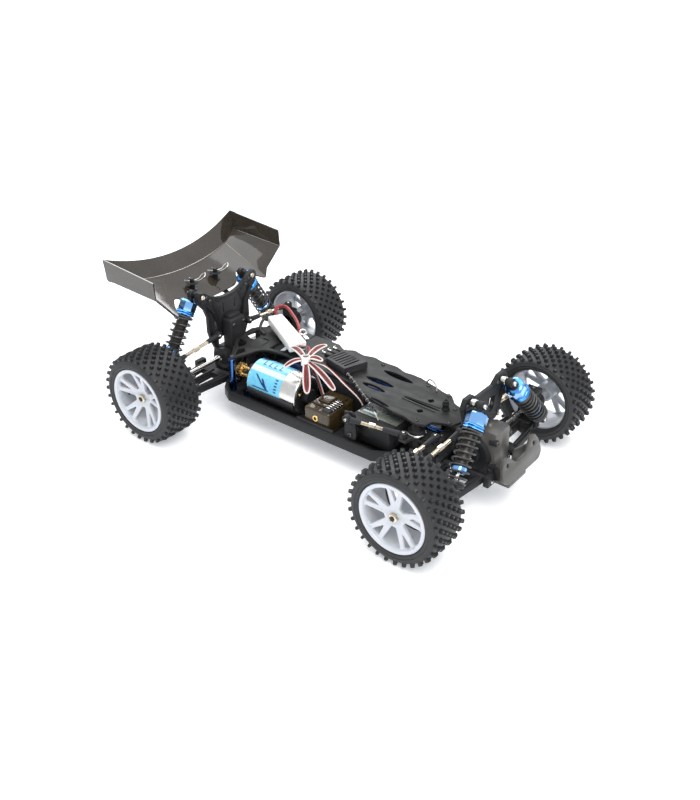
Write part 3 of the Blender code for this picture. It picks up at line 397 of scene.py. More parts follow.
def frame_of(origin, u_axis, v_axis):
    u_axis, v_axis = Vector(u_axis).normalized(), Vector(v_axis).normalized()
    rotation = Matrix((u_axis, v_axis, u_axis.cross(v_axis))).transposed().to_4x4()
    return Matrix.Translation(Vector(origin)) @ rotation


def level(z):
    """The plane at a height, with local X ahead and local Y to the left."""
    return frame_of((0, 0, z), X, Y)


def plate(outlines, thickness, place, bevel=0.4):
    """A flat plate with rounded edges: the first outline is its edge, the rest are holes."""
    curve = bpy.data.curves.new("outline", "CURVE")
    curve.dimensions = "2D"
    curve.fill_mode = "BOTH"
    curve.extrude = thickness / 2 - bevel
    curve.bevel_depth = bevel
    curve.bevel_resolution = 1
    curve.offset = -bevel
    for outline in outlines:
        spline = curve.splines.new("POLY")
        spline.points.add(len(outline) - 1)
        for point, (u, v) in zip(spline.points, outline):
            point.co = (u, v, 0.0, 1.0)
        spline.use_cyclic_u = True
    source = bpy.data.objects.new("outline", curve)
    bpy.context.scene.collection.objects.link(source)
    mesh = bpy.data.meshes.new_from_object(source.evaluated_get(bpy.context.evaluated_depsgraph_get()))
    bm = bmesh.new()
    bm.from_mesh(mesh)
    bpy.data.objects.remove(source)
    bpy.data.curves.remove(curve)
    bpy.data.meshes.remove(mesh)
    bmesh.ops.remove_doubles(bm, verts=bm.verts, dist=0.001)
    bmesh.ops.recalc_face_normals(bm, faces=bm.faces)
    bmesh.ops.transform(bm, matrix=place, verts=bm.verts)
    return bm


def cad_shape(node, bevel=0.35):
    """A CAD node's own shape with its edges rounded."""
    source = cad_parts[node]
    bm = bmesh.new()
    bm.from_mesh(source.data)
    bmesh.ops.transform(bm, matrix=FROM_FRAME @ source.matrix_world, verts=bm.verts)
    bmesh.ops.remove_doubles(bm, verts=bm.verts, dist=0.005)
    bmesh.ops.dissolve_limit(bm, angle_limit=math.radians(1.0), verts=bm.verts, edges=bm.edges)
    soften(bm, bevel, 2, 30.0)
    return bm


class Piece:
    """A visible piece, built up from shapes, each black composite unless it is given a material."""

    def __init__(self, name):
        self.name = name
        self.bm = bmesh.new()
        self.materials = []

    def add(self, shape, material=COMPOSITE):
        """Takes a shape into the piece and frees it."""
        if material not in self.materials:
            self.materials.append(material)
        index = self.materials.index(material)
        mesh = bpy.data.meshes.new("shape")
        shape.to_mesh(mesh)
        shape.free()
        first = len(self.bm.faces)
        self.bm.from_mesh(mesh)
        bpy.data.meshes.remove(mesh)
        self.bm.faces.ensure_lookup_table()
        for face in self.bm.faces[first:]:
            face.material_index = index
            face.smooth = True
        return self

    def screw(self, point, direction, radius=1.7, material=SCREW, height=0.8):
        """A button-head screw with a socket, standing on a face."""
        point, direction = Vector(point), Vector(direction).normalized()
        tall = radius * height
        head = [(-0.3, 0), (-0.3, radius), (tall * 0.45, radius), (tall * 0.85, radius * 0.78),
                (tall, radius * 0.5)]
        self.add(lathe(point, point + direction, head + [(tall, radius * 0.48), (tall * 0.3, radius * 0.42),
                                                         (tall * 0.3, 0)], 14), material)
        # a dark disc at the socket's floor: painted shade in the hole
        self.add(lathe(point, point + direction, [(tall * 0.32, 0), (tall * 0.32, radius * 0.40),
                                                  (tall * 0.36, radius * 0.38), (tall * 0.36, 0)], 6), DARK_AND_HOLE_SHADE)
        return self

    def done(self, body, *replaced, slot="black_composite"):
        """Makes the object, lets it ride on a body, if one is given, and stand for CAD nodes."""
        bmesh.ops.transform(self.bm, matrix=TO_FRAME, verts=self.bm.verts)
        made = place_object(self.name, self.bm)
        for material in self.materials:
            made.data.materials.append(material)
        made.data.set_sharp_from_angle(angle=math.radians(38))
        if body:
            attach(made, body)
        if replaced:
            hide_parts(*replaced)
        return made


# ---------------------------------------------------------------- wheels
def wheel_place(axle, side):
    """Local Z runs outward along the axle from the rim's outer face, local X forward."""
    return Matrix(((1, 0, 0, axle.x), (0, 0, side, side * axle.face), (0, 1, 0, AXLE_Z), (0, 0, 0, 1)))


def placed(shape, place):
    bmesh.ops.transform(shape, matrix=place, verts=shape.verts)
    bmesh.ops.recalc_face_normals(shape, faces=shape.faces)
    return shape


SPOKES = 5
SPOKE_START = 88.0


def spoke_disc(dish):
    """The face of a rim: five spokes that split in two, curving in from the rim to the hub."""
    holes = []
    for i in range(SPOKES):
        turn = SPOKE_START + 360 / SPOKES * i
        wide = [polar(9.6, turn + 24), polar(9.2, turn + 36), polar(9.6, turn + 48),
                polar(17.5, turn + 53.5), polar(25.3, turn + 56.0), polar(26.0, turn + 46),
                polar(26.2, turn + 36), polar(26.0, turn + 26), polar(25.3, turn + 16.0),
                polar(17.5, turn + 18.5)]
        narrow = [polar(14.2, turn), polar(25.2, turn + 8.0), polar(26.0, turn), polar(25.2, turn - 8.0)]
        holes += [rounded(wide, 2.4), rounded(narrow, 1.4)]
    disc = plate([circle(27.6, 72), *holes], 3.4, Matrix.Identity(4), 0.8)
    bmesh.ops.triangulate(disc, faces=[f for f in disc.faces if len(f.verts) > 4])
    bmesh.ops.subdivide_edges(disc, edges=[e for e in disc.edges if e.calc_length() > 6.0], cuts=2)
    bmesh.ops.triangulate(disc, faces=[f for f in disc.faces if len(f.verts) > 4])
    for vertex in disc.verts:
        radius = math.hypot(vertex.co.x, vertex.co.y)
        vertex.co.z += -3.4 - dish * (1 - min(1.0, radius / 26.0) ** 1.6)
    return disc


def rim(axle, name, side):
    place = wheel_place(axle, side)
    width, dish = axle.rim_width, axle.dish
    piece = Piece(name + "_rim_visual")
    barrel = [(-0.4, 26.4), (0.0, 26.9), (0.0, 29.1), (-0.5, 29.6), (-1.3, 29.6), (-1.7, 28.6),
              (-width + 1.7, 28.6), (-width + 1.3, 29.6), (-width + 0.5, 29.6), (-width, 29.1),
              (-width, 27.4), (-width + 1.5, 27.0), (-7.0, 26.6), (-2.2, 25.9)]

    def turned(profile, steps, material, closed=False):
        piece.add(placed(lathe((0, 0, 0), UP, profile, steps, closed), place), material)

    turned(barrel, 72, NYLON, closed=True)
    piece.add(placed(spoke_disc(dish), place), NYLON)
    hub_face = -1.9 - dish
    hub = [(hub_face - 15, 0), (hub_face - 15, 7.4), (hub_face - 14, 8.0), (hub_face - 2.5, 8.6),
           (hub_face - 0.2, 8.2), (hub_face + 0.5, 6.6), (hub_face + 0.5, 4.9), (hub_face - 0.6, 4.7),
           (hub_face - 0.6, 0)]
    turned(hub, 40, NYLON)
    seat = hub_face - 0.6
    washer = [(seat, 0), (seat, 4.3), (seat + 0.5, 4.5), (seat + 0.9, 4.2), (seat + 0.9, 0)]
    turned(washer, 28, GOLD_STEEL)
    nut = [(seat + 0.8, 0), (seat + 0.8, 3.9), (seat + 1.2, 4.1), (seat + 3.4, 4.1), (seat + 3.9, 3.6),
           (seat + 4.1, 2.7), (seat + 3.5, 2.5), (seat + 3.5, 0)]
    turned(nut, 6, GOLD_STEEL)
    thread = [(seat + 3.3, 0), (seat + 3.3, 1.9), (seat + 4.3, 1.9), (seat + 4.6, 1.6), (seat + 4.6, 0)]
    turned(thread, 20, DARK_AND_HOLE_SHADE)
    piece.add(placed(rod((0, 0, hub_face - 15.5), (0, 0, hub_face - 11.0), 6.9, sides=6), place), SEAT_GREY)
    axle_end = (85.0 if axle is FRONT else 83.5) + 8.0 - axle.face
    piece.add(placed(rod((0, 0, axle_end), (0, 0, hub_face - 14), 2.9), place), STEEL)
    # a dark stub at the valve hole: painted shade in the hole
    valve, valve_end = polar(26.5, SPOKE_START + 108), polar(26.95, SPOKE_START + 108)
    piece.add(placed(rod((*valve, -13.0), (*valve_end, -13.0), 1.0, sides=10), place), DARK_AND_HOLE_SHADE)
    return piece.done(name + "_wheel", name + "_rim", slot="white_nylon")


PIN_COUNT = 30
PIN_TILTS = [32, 9, 0, 0, 0, 0, -9, -32]       # of each row, from the outer shoulder to the inner


def pin(radial, tilt, w, turn):
    """One square rubber pin, leaning with the tread's shoulder."""
    bm = bmesh.new()
    base, tip, height = 1.5, 1.12, 3.1
    rows = []
    square = ((-1, -1), (1, -1), (1, 1), (-1, 1))
    for half, z in ((base, -0.5), (base * 0.93, 0.3), (tip * 1.06, height * 0.82), (tip * 0.8, height)):
        rows.append([bm.verts.new((x * half, y * half, z)) for x, y in square])
    skin(bm, rows)
    bm.faces.new(rows[-1])
    bm.faces.new(rows[0][::-1])
    # local Z of the pin points away from the axle, leaning outward by its tilt
    lean = Matrix.Rotation(math.radians(90 - tilt), 4, "Y")
    stand = Matrix.Rotation(turn, 4, "Z") @ Matrix.Translation((radial, 0, w)) @ lean
    bmesh.ops.transform(bm, matrix=stand, verts=bm.verts)
    return bm


def tyre(axle, name, side):
    place = wheel_place(axle, side)
    width = axle.tyre_width
    middle = 0.5 - width / 2
    half = [(-2.6, 29.0), (-1.4, 29.9), (-0.3, 30.6), (0.15, 31.6), (0.15, 32.6), (-0.05, 32.9),
            (-0.05, 33.3), (0.4, 33.7), (0.4, 34.5), (-0.1, 35.0), (-0.25, 36.2), (-0.9, 37.4),
            (-2.2, 38.2), (-5.0, 38.8), (-11.0, 39.1)]
    profile = half + [(middle, 39.2)] + [(2 * middle - w, r) for w, r in reversed(half)]
    piece = Piece(name + "_tyre_visual")
    piece.add(placed(lathe((0, 0, 0), UP, profile, 90, closed=True), place), RUBBER)
    first, pitch = -2.4, (width - 5.8) / (len(PIN_TILTS) - 1)
    for row, tilt in enumerate(PIN_TILTS):
        w = first - pitch * row
        base = 38.0 if row in (0, len(PIN_TILTS) - 1) else 38.75
        for i in range(PIN_COUNT):
            turn = 2 * math.pi * (i + 0.5 * (row % 2)) / PIN_COUNT
            piece.add(placed(pin(base, tilt, w, turn), place), PIN_RUBBER)
    return piece.done(name + "_wheel", name + "_tyre", slot="tyre_rubber")


# ---------------------------------------------------------------- suspension
def along_shock(axle, side, distance):
    top, eye = Vector(axle.shock_top), Vector(axle.shock_eye)
    point = top + (eye - top).normalized() * distance
    return (axle.x + point.x, side * point.y, point.z)


def shock(axle, name, side):
    """Oil cylinder with its blue cap and collar, the piston rod with its cup, and the coil."""
    def point(distance):
        return Vector(along_shock(axle, side, distance))

    length = (Vector(axle.shock_eye) - Vector(axle.shock_top)).length
    end = axle.shock_end
    top = point(0)
    away = Vector((-1 if axle is FRONT else 1, 0, 0))
    body, shaft = Piece(name + "_shock_body_visual"), Piece(name + "_shock_shaft_visual")

    def turned(piece, profile, steps, material, turn=0.0):
        piece.add(lathe(point(0), point(1), profile, steps, turn=turn), material)

    body.add(rod(top - away * SHOCK_EYE_HALF, top + away * SHOCK_EYE_HALF, 3.9, sides=24, bevel=0.7))
    body.add(rod(top - away * (SHOCK_EYE_HALF + 0.9), top + away * (SHOCK_EYE_HALF + 0.25), 2.1, sides=16),
             STEEL)
    body.screw(top - away * (SHOCK_EYE_HALF + 0.7), -away, 2.2, STEEL)
    turned(body, [(1.5, 0), (1.5, 2.4), (4.0, 3.0), (5.2, 4.6), (6.3, 4.8), (6.3, 0)], 20, COMPOSITE)
    cap = [(5.5, 0), (5.5, 6.4), (6.6, 8.0), (7.4, 8.7), (15.2, 8.7), (16.0, 8.2), (16.0, 0)]
    turned(body, cap, 8, BLUE, turn=20)
    collar = [(15.6, 0), (15.6, 7.6), (16.2, 8.5), (16.9, 8.9), (17.5, 8.5), (17.9, 8.2), (18.3, 8.6),
              (19.0, 9.0), (19.7, 8.6), (20.1, 7.2), (20.1, 0)]
    turned(body, collar, 32, BLUE)
    barrel = [(19.5, 0), (19.5, 5.6)]
    distance = 21.0
    while distance < end - 7.0:
        barrel += [(distance, 5.6), (distance + 0.35, 5.15), (distance + 0.85, 5.15), (distance + 1.2, 5.6)]
        distance += 2.4
    barrel += [(end - 5.2, 5.6), (end - 5.2, 0)]
    turned(body, barrel, 24, BARREL)
    low = [(end - 5.6, 0), (end - 5.6, 5.6), (end - 5.0, 6.3), (end - 1.6, 6.3), (end - 1.0, 5.7),
           (end - 0.6, 5.7), (end, 5.0), (end, 0)]
    turned(body, low, 12, BLUE)
    body.done(name + "_shock_body", name + "_shock_body", slot="blue_anodised")

    foot = point(length)
    cup = length - CUP_DROP
    shaft.add(rod(point(end - 8), point(cup + 2), 1.55, sides=16, bevel=0.1), STEEL)
    turned(shaft, [(cup, 0), (cup, 8.1), (cup + 0.4, 8.35), (cup + 1.6, 8.35), (cup + 2.3, 7.4),
                   (cup + 2.8, 4.2), (cup + 6.5, 2.9), (length - 2, 2.5), (length - 2, 0)], 28, COMPOSITE)
    shaft.add(rod(foot - away * SHOCK_EYE_HALF, foot + away * SHOCK_EYE_HALF, 3.9, sides=24, bevel=0.7))
    shaft.screw(foot - away * (SHOCK_EYE_HALF - 0.1), -away, 2.2, STEEL)
    shaft.done(name + "_shock_shaft", name + "_shock_shaft", slot="bright_steel")

    coil_r, wire_r, turns, per_turn = 8.0, 0.88, 9.5, 20
    start, finish = point(20.35 + wire_r), point(cup - 0.35 - wire_r)
    down = (finish - start).normalized()
    other = down.cross(Vector((1, 0, 0))).normalized()
    across = other.cross(down)
    points = []
    for i in range(int(turns * per_turn) + 1):
        wound = i / per_turn
        # the end turns lie flat, as a ground spring's do
        height = min(1.0, max(0.0, (wound - 0.75) / (turns - 1.5)))
        angle = 2 * math.pi * wound
        points.append(start.lerp(finish, height)
                      + (across * math.cos(angle) + other * math.sin(angle)) * coil_r)
    coil = Piece(name + "_spring_visual")
    coil.add(tube(points, wire_r, 8), SPRING)
    made = coil.done(None, name + "_spring", slot="spring_steel")
    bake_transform(made)


def rod_end(piece, centre, axis, inward, neck):
    """A moulded rod end with its ball, and the neck that the link screws into."""
    centre, axis, inward = Vector(centre), Vector(axis).normalized(), Vector(inward).normalized()
    eye = [(-2.3, 2.2), (-2.5, 3.0), (-1.9, 3.6), (1.9, 3.6), (2.5, 3.0), (2.3, 2.2)]
    piece.add(lathe(centre, centre + axis, eye, 24, closed=True))
    piece.add(ball(centre, 2.35), STEEL)
    piece.add(rod(centre + inward * 3.0, centre + inward * neck, 2.7, 2.15, sides=14, bevel=0.4))


def turnbuckle(node, start, end, axes, neck=(15.0, 15.0)):
    """A threaded link between two rod ends, with a hexagon in its middle to turn it by."""
    start, end = Vector(start), Vector(end)
    along = (end - start).normalized()
    first, last = start + along * (neck[0] - 1.0), end - along * (neck[1] - 1.0)
    piece = Piece(node + "_visual")
    piece.add(rod(first, last, 1.55, sides=14, bevel=0.1), GOLD_STEEL)
    middle = (first + last) / 2
    thread_length = (last - first).length / 2 - 3.0
    for direction in (1, -1):
        base = middle + along * direction * 3.0
        profile = [(0.0, 1.5)]
        step = 0.0
        while step < thread_length - 0.7:
            profile += [(step + 0.2, 1.78), (step + 0.55, 1.5)]
            step += 0.7
        profile = [(0.0, 0.0), *profile, (profile[-1][0], 0.0)]
        piece.add(lathe(base, base + along * direction, profile, 12), GOLD_STEEL)
    piece.add(rod(middle - along * 3.2, middle + along * 3.2, 2.5, sides=6, bevel=0.4), GOLD_STEEL)
    rod_end(piece, start, axes[0], along, neck[0])
    rod_end(piece, end, axes[1], -along, neck[1])
    for centre, axis in ((start, axes[0]), (end, axes[1])):
        piece.screw(centre + Vector(axis).normalized() * 2.2, axis, 1.5, STEEL)
    piece.done(node, node, slot="bright_steel")


def driveshaft(axle, name, side):
    inner, outer = 22.0, axle.hub_pin_y + 4.5
    x = axle.x
    piece = Piece(name + "_driveshaft_visual")
    length = outer - inner
    bone = [(0, 0), (0, 2.6), (3.0, 2.6), (5.5, 1.9), (length - 6, 1.9), (length - 3, 2.7), (length, 2.7),
            (length, 0)]
    piece.add(lathe((x, side * inner, AXLE_Z), (x, side * outer, AXLE_Z), bone, 16), STEEL)
    for y, radius in ((inner, 3.0), (outer, 3.2)):
        piece.add(ball((x, side * y, AXLE_Z), radius), STEEL)
        piece.add(rod((x - 4.4, side * y, AXLE_Z), (x + 4.4, side * y, AXLE_Z), 1.0, sides=12), STEEL)
    return piece.done(name + "_driveshaft", name + "_driveshaft", slot="bright_steel")


def lower_arm(axle, name, side):
    x, pin, hub = axle.x, axle.pin_y, axle.hub_pin_y
    piece = Piece(name + "_lower_arm_visual")
    piece.add(cad_shape(name + "_lower_arm", 0.5))
    # stiffening ribs along the arm's two legs and across its middle
    for lean in (1, -1):
        rib = [(x + lean * 16.2, pin + 5), (x + lean * 12.8, hub - 12), (x + lean * 11.6, hub - 12),
               (x + lean * 15.0, pin + 5)]
        piece.add(plate([[(u, side * v) for u, v in rib]], 1.8, level(ARM_Z + 3.4), 0.3))
    piece.add(box((x - 0.8, side * (pin + 3), ARM_Z + 2.6), (x + 0.8, side * (hub - 12), ARM_Z + 4.2), 0.3))
    for end in (1, -1):
        piece.add(rod((x + end * 8.4, side * hub, ARM_Z), (x + end * 12.3, side * hub, ARM_Z), 1.6,
                      sides=14), STEEL)
        piece.screw((x + end * 12.0, side * hub, ARM_Z), (end, 0, 0), 1.9, STEEL)
    eye_x, eye_y, eye_z = axle.shock_eye
    outward = 1 if eye_x > 0 else -1
    lug = x + eye_x - outward * (SHOCK_EYE_HALF + 1.0)
    lug_start, lug_end = lug - outward * 0.5, lug + outward * 0.05
    piece.add(rod((lug_start, side * eye_y, eye_z), (lug_end, side * eye_y, eye_z), 1.8, sides=14), STEEL)
    piece.screw((x + 7.0, side * (hub - 10.5), ARM_Z + 3.0), UP, 1.4)
    return piece.done(name + "_lower_arm", name + "_lower_arm")


def hinge_pins(axle, name, side):
    """The steel pin an arm swings on, in its two blocks on the chassis."""
    x, pin = axle.x, axle.pin_y
    piece = Piece(name + "_hinge_pin")
    for end in (1, -1):
        first, last = x + end * 19.6, x + end * 25.0
        piece.add(box((first, side * (pin - 7), TUB_FLOOR_Z), (last, side * (pin + 4.2), 34.6), 0.9))
        piece.add(rod((x + end * 18.2, side * pin, ARM_Z), (last + end * 1.4, side * pin, ARM_Z), 1.55,
                      sides=14), STEEL)
        piece.screw((last, side * (pin - 4.4), 27.8), (end, 0, 0), 1.4)
    return piece.done("chassis")


def hub_carrier(axle, name, side):
    piece = Piece(name + "_hub_carrier_visual")
    piece.add(cad_shape(name + "_hub_carrier", 0.5))
    x, y = axle.x + axle.camber_x, side * axle.camber_outer[0]
    piece.add(rod((x, y, axle.camber_outer[1] - 4.5), (x, y, axle.camber_outer[1] - 2.0), 1.5, sides=12),
              STEEL)
    if axle is FRONT:
        for z, way in ((57.5, 1), (28.5, -1)):
            piece.screw((axle.x, side * (KNUCKLE_Y + 1.0), z), (0, 0, way), 2.1)
    else:
        piece.screw((axle.x + 5.2, side * (axle.hub_pin_y + 4), 50.0), (0, side, 0), 1.5)
        centre = (axle.x, side * (axle.hub_pin_y + 8.4), AXLE_Z)
        piece.add(ring(centre, (0, side, 0), 5.6, 0.7, 32), STEEL)
    return piece.done(name + "_hub_carrier", name + "_hub_carrier")


def knuckle(name, side):
    piece = Piece(name + "_knuckle_visual")
    piece.add(cad_shape(name + "_knuckle", 0.5))
    piece.add(ring((FRONT.x, side * (KNUCKLE_Y + 9.6), AXLE_Z), (0, side, 0), 5.4, 0.7, 32), STEEL)
    steering_y = side * (KNUCKLE_Y - 4)
    piece.add(rod((STEER_X, steering_y, TIE_ROD_Z - 3.6), (STEER_X, steering_y, TIE_ROD_Z), 1.4, sides=12),
              STEEL)
    return piece.done(name + "_knuckle", name + "_knuckle")


# ---------------------------------------------------------------- chassis, deck, towers and bumper
def chassis_tub():
    """The CAD tray, with screws under it and lips along its walls."""
    piece = Piece("chassis_tub_visual")
    piece.add(cad_shape("chassis_tub", 0.7))
    for x, y in ((60, 30), (60, -44), (150, 30), (190, 40), (215, -34), (-12, 10), (-12, -10), (284, 8),
                 (284, -8)):
        piece.screw((x, y, 22.0), (0, 0, -1), 2.2)
    # the outer lip that runs along the top of the wall, and the rail inside it
    for side in (1, -1):
        for inset, width, low, high in ((0.4, 1.0, 30.6, 32.0), (2.6, 0.7, 30.6, 31.5)):
            edge = [(30, 44.5), (38.6, 50), (200, 50), (243, 25.6)]
            lip = [(x, side * (y - inset)) for x, y in edge]
            lip += [(x, side * (y - inset - width)) for x, y in reversed(edge)]
            piece.add(plate([lip], high - low, level((low + high) / 2), 0.25))
    return piece.done("chassis", "chassis_tub")


DECK_OUTLINE = [(64, -3.5), (150, -8), (175, -19), (204, -25), (216, -25.5), (222, -27.5), (229, -29),
                (237, -26), (239, -18.5), (247.5, -14.8), (254.5, -12.5), (257.5, -4.4), (253.6, 5),
                (248.7, 13.7), (237.5, 17.8), (229, 27), (220, 28), (211.5, 31), (197, 35), (190, 37),
                (180.5, 37.6), (173, 36.8), (162, 41), (154, 40.8), (146, 40.5), (135.5, 43), (125, 39.9),
                (113, 42.6), (104, 37.4), (95, 43), (64, 44)]
DECK_SLOTS = [((157, 28), (190, 24.5), 7.0), ((151, 9.5), (181, 8.5), 7.0), ((155, -1), (180, -3), 6.0),
              ((176, -17.5), (197, -21), 3.4), ((197, 0.5), (236, -0.5), 2.4)]
TRUSS_OUTLINE = [(16.2, -16), (32, -38.5), (38.7, -24.4), (42, -13.6), (45.4, -8.8), (51.3, -6), (66, -3.5),
                 (66, 44), (38, 41), (26, 33), (15.2, 29), (6.5, 19), (8, -5)]
TRUSS_WINDOWS = [[(13, -4.6), (22.3, -6), (25.6, -11.3), (23.4, -18.2), (15.4, -10.3)],
                 [(25.3, -20.8), (28.9, -16.5), (34.5, -21), (32.6, -32.4)],
                 [(12, 6.9), (14.1, 18.3), (24.7, 13.5), (24.3, 1.9), (13, 1.7)],
                 [(30, -9.6), (37, -9.6), (37, 9.6), (30, 9.6)],
                 [(47.5, -2.5), (47.5, 9.3), (51.3, 18.6), (61.5, 9.7), (62, 2.2), (56.3, -0.8)]]


def slot(first, second, width):
    """A leaf-shaped hole between two points: broad in the middle and pointed at its ends."""
    first, second = Vector(first), Vector(second)
    along = second - first
    across = Vector((-along.y, along.x)).normalized() * width / 2
    spread = [(0.0, 0.15), (0.12, 0.62), (0.3, 0.95), (0.5, 1.0), (0.72, 0.85), (0.9, 0.5), (1.0, 0.12)]
    near = [tuple(first + along * t - across * w) for t, w in spread]
    far = [tuple(first + along * t + across * w) for t, w in reversed(spread)]
    return near + far


def half_ring(centre, profile, lean, steps=32):
    """A closed profile of (x, radius) points swept over the top of a line along X."""
    centre = Vector(centre)
    bm = bmesh.new()
    rows = []
    for i in range(steps + 1):
        turn = math.radians(lean + (180 - 2 * lean) * i / steps)
        rows.append([bm.verts.new(centre + Vector((x, radius * math.cos(turn), radius * math.sin(turn))))
                     for x, radius in profile])
    skin(bm, rows)
    bm.faces.new(rows[0])
    bm.faces.new(rows[-1][::-1])
    bmesh.ops.recalc_face_normals(bm, faces=bm.faces)
    return bm


def upper_deck():
    """The slotted deck, the truss behind it, the spur gear's hump, and all that stands on them."""
    piece = Piece("upper_deck_visual")
    holes = [slot(first, second, width) for first, second, width in DECK_SLOTS]
    holes += [[(x + 3.2 * u, y + 3.2 * v) for u, v in ((1, 0.1), (-0.1, 1), (-1, -0.1), (0.1, -1))]
              for x, y in ((219.5, 9.0), (221.2, -10.4))]
    piece.add(plate([rounded(DECK_OUTLINE, 1.5), *holes], DECK_THICKNESS, level(DECK_Z), 0.5), DECK_GREY)
    # the hump over the spur gear, and the legs under the deck
    hump = [(26.5, 18.2), (26.5, 19.9), (27.8, 21.2), (39.2, 21.2), (40.5, 19.9), (40.5, 18.2),
            (39.2, 18.2), (39.2, 20.0), (27.8, 20.0), (27.8, 18.2)]
    piece.add(half_ring((0, 0, SHAFT_Z), hump, 60), DECK_GREY)
    for x, y, radius in ((50, 41, 2.6), (12, 21, 2.6), (203, 29, 2.6), (161.5, -8, 2.4),
                         (CRANK_X, -CRANK_Y, 2.2), (CRANK_X, CRANK_Y, 2.2)):
        piece.add(rod((x, y, TUB_FLOOR_Z), (x, y, 58), radius, sides=20), DECK_GREY)
    for x, y in ((226.6, 25.2), (227.4, -25), (251.0, -11.5), (243, 9.5), (203, 29), (150, 36), (96, 1.0),
                 (31.4, -35.6), (50, 41), (12, 21)):
        piece.screw((x, y, DECK_TOP_Z), UP, 1.8)
    # the aerial post, the blue post beside the motor and the wire bail
    post = [(0, 0), (0, 3.4), (1.0, 3.6), (2.2, 3.0), (2.6, 2.7), (4.6, 2.7), (5.0, 3.1), (6.4, 3.1),
            (6.8, 2.5), (8.6, 2.4), (9.0, 1.6), (8.2, 1.5), (8.2, 0)]
    piece.add(lathe((236.8, 4.4, 59.8), (236.8, 4.4, 61), post, 20))
    piece.add(rod((31.4, -36.0, 25.0), (31.4, -36.0, 57.6), 3.0, sides=20, bevel=0.4), DARK_BLUE)
    bail = smooth_path([(199, 32.8, 60.4), (201.5, 33.2, 63.6), (207.4, 29.8, 65.6), (213, 26.4, 64.2),
                        (214.6, 25.0, 60.4)], 6)
    piece.add(tube(bail, 0.75, 8), STEEL)
    truss = [rounded(TRUSS_OUTLINE, 1.2), *TRUSS_WINDOWS]
    piece.add(plate(truss, DECK_THICKNESS, level(DECK_Z), 0.5), DECK_GREY)
    # the moulded V groove that runs back from the post
    for lean in (1, -1):
        ridge = [(197, 0.5 + lean * 1.6), (232, -0.5 + lean * 3.4), (232, -0.5 + lean * 4.6),
                 (197, 0.5 + lean * 2.8)]
        piece.add(plate([ridge], 1.2, level(60.2), 0.3), DECK_GREY)
    return piece.done("chassis", "upper_deck", slot="grey_composite")


BUMPER_TILT = math.radians(16.0)


def sheet_piece(points, thickness):
    """A thin flat-sided wall through points given in order round its edge."""
    points = [Vector(point) for point in points]
    normal = (points[1] - points[0]).cross(points[2] - points[0]).normalized()
    bm = bmesh.new()
    near = [bm.verts.new(point + normal * thickness / 2) for point in points]
    far = [bm.verts.new(point - normal * thickness / 2) for point in points]
    bm.faces.new(near)
    bm.faces.new(far[::-1])
    for i in range(len(points)):
        after = (i + 1) % len(points)
        bm.faces.new((near[i], far[i], far[after], near[after]))
    bmesh.ops.recalc_face_normals(bm, faces=bm.faces)
    soften(bm, 0.4)
    return bm


def gearboxes():
    """The two differential housings, each with its outlets, shaft nose and screw lugs."""
    x = FRONT.x
    piece = Piece("front_gearbox_visual")
    for shape in (rod((x, -15, AXLE_Z), (x, 15, AXLE_Z), 17.0, sides=48, bevel=3.0),
                  rod((x, -18.5, AXLE_Z), (x, 18.5, AXLE_Z), 8.0, sides=32, bevel=0.6),
                  box((x - 15, -13.5, 25.0), (x + 15, 13.5, AXLE_Z), 1.5),
                  rod((x - 20, 0, SHAFT_Z), (x - 10, 0, SHAFT_Z), 9.0, sides=32, bevel=0.8)):
        piece.add(shape, COMPOSITE)
    piece.add(box((x + 1.7, -12.5, 26.0), (x + 21, 12.5, 66), 5.5), CASE_GREY)
    for y in (-9 * 1.18, 9 * 1.18):
        for z, lean in ((57.0, 0.2), (34.0, 0.0)):
            piece.add(rod((x + 14.0, y, z), (x + 20.6, y, z), 3.0, sides=20, bevel=0.6))
            piece.screw((x + 20.4, y, z), (1, 0, lean), 1.7)
    piece.done("chassis", "front_gearbox")
    x = REAR.x
    piece = Piece("rear_gearbox_visual")
    for shape in (rod((x - 3, -15, 38), (x - 3, 15, 38), 12.5, sides=40, bevel=2.0),
                  rod((x, -18.5, AXLE_Z), (x, 18.5, AXLE_Z), 8.0, sides=32, bevel=0.6),
                  box((x - 15, -13.5, 25.0), (x + 15, 13.5, 46.0), 1.5),
                  rod((x + 10, 0, SHAFT_Z), (x + 20, 0, SHAFT_Z), 9.0, sides=32, bevel=0.8),
                  box((x - 3.3, -11.5, 44.0), (x + 9.0, 8.5, 79), 2.4),
                  box((x - 3.3, -8.5, 77.0), (x + 5.0, 5.5, 82), 1.2)):
        piece.add(shape, COMPOSITE)
    for y in (-8.5, 8.5):
        piece.screw((x + 9.0, y * 0.75 - 1.5, 74.0), X, 1.7)
        piece.screw((x - 14.9, y, 33.0), (-1, 0, 0), 1.7)
    piece.done("chassis", "rear_gearbox")


TOWER_RIB = [(13.5, 62), (15.5, 62), (21.5, 86), (30.5, 98), (28.8, 98.8), (19.5, 87)]


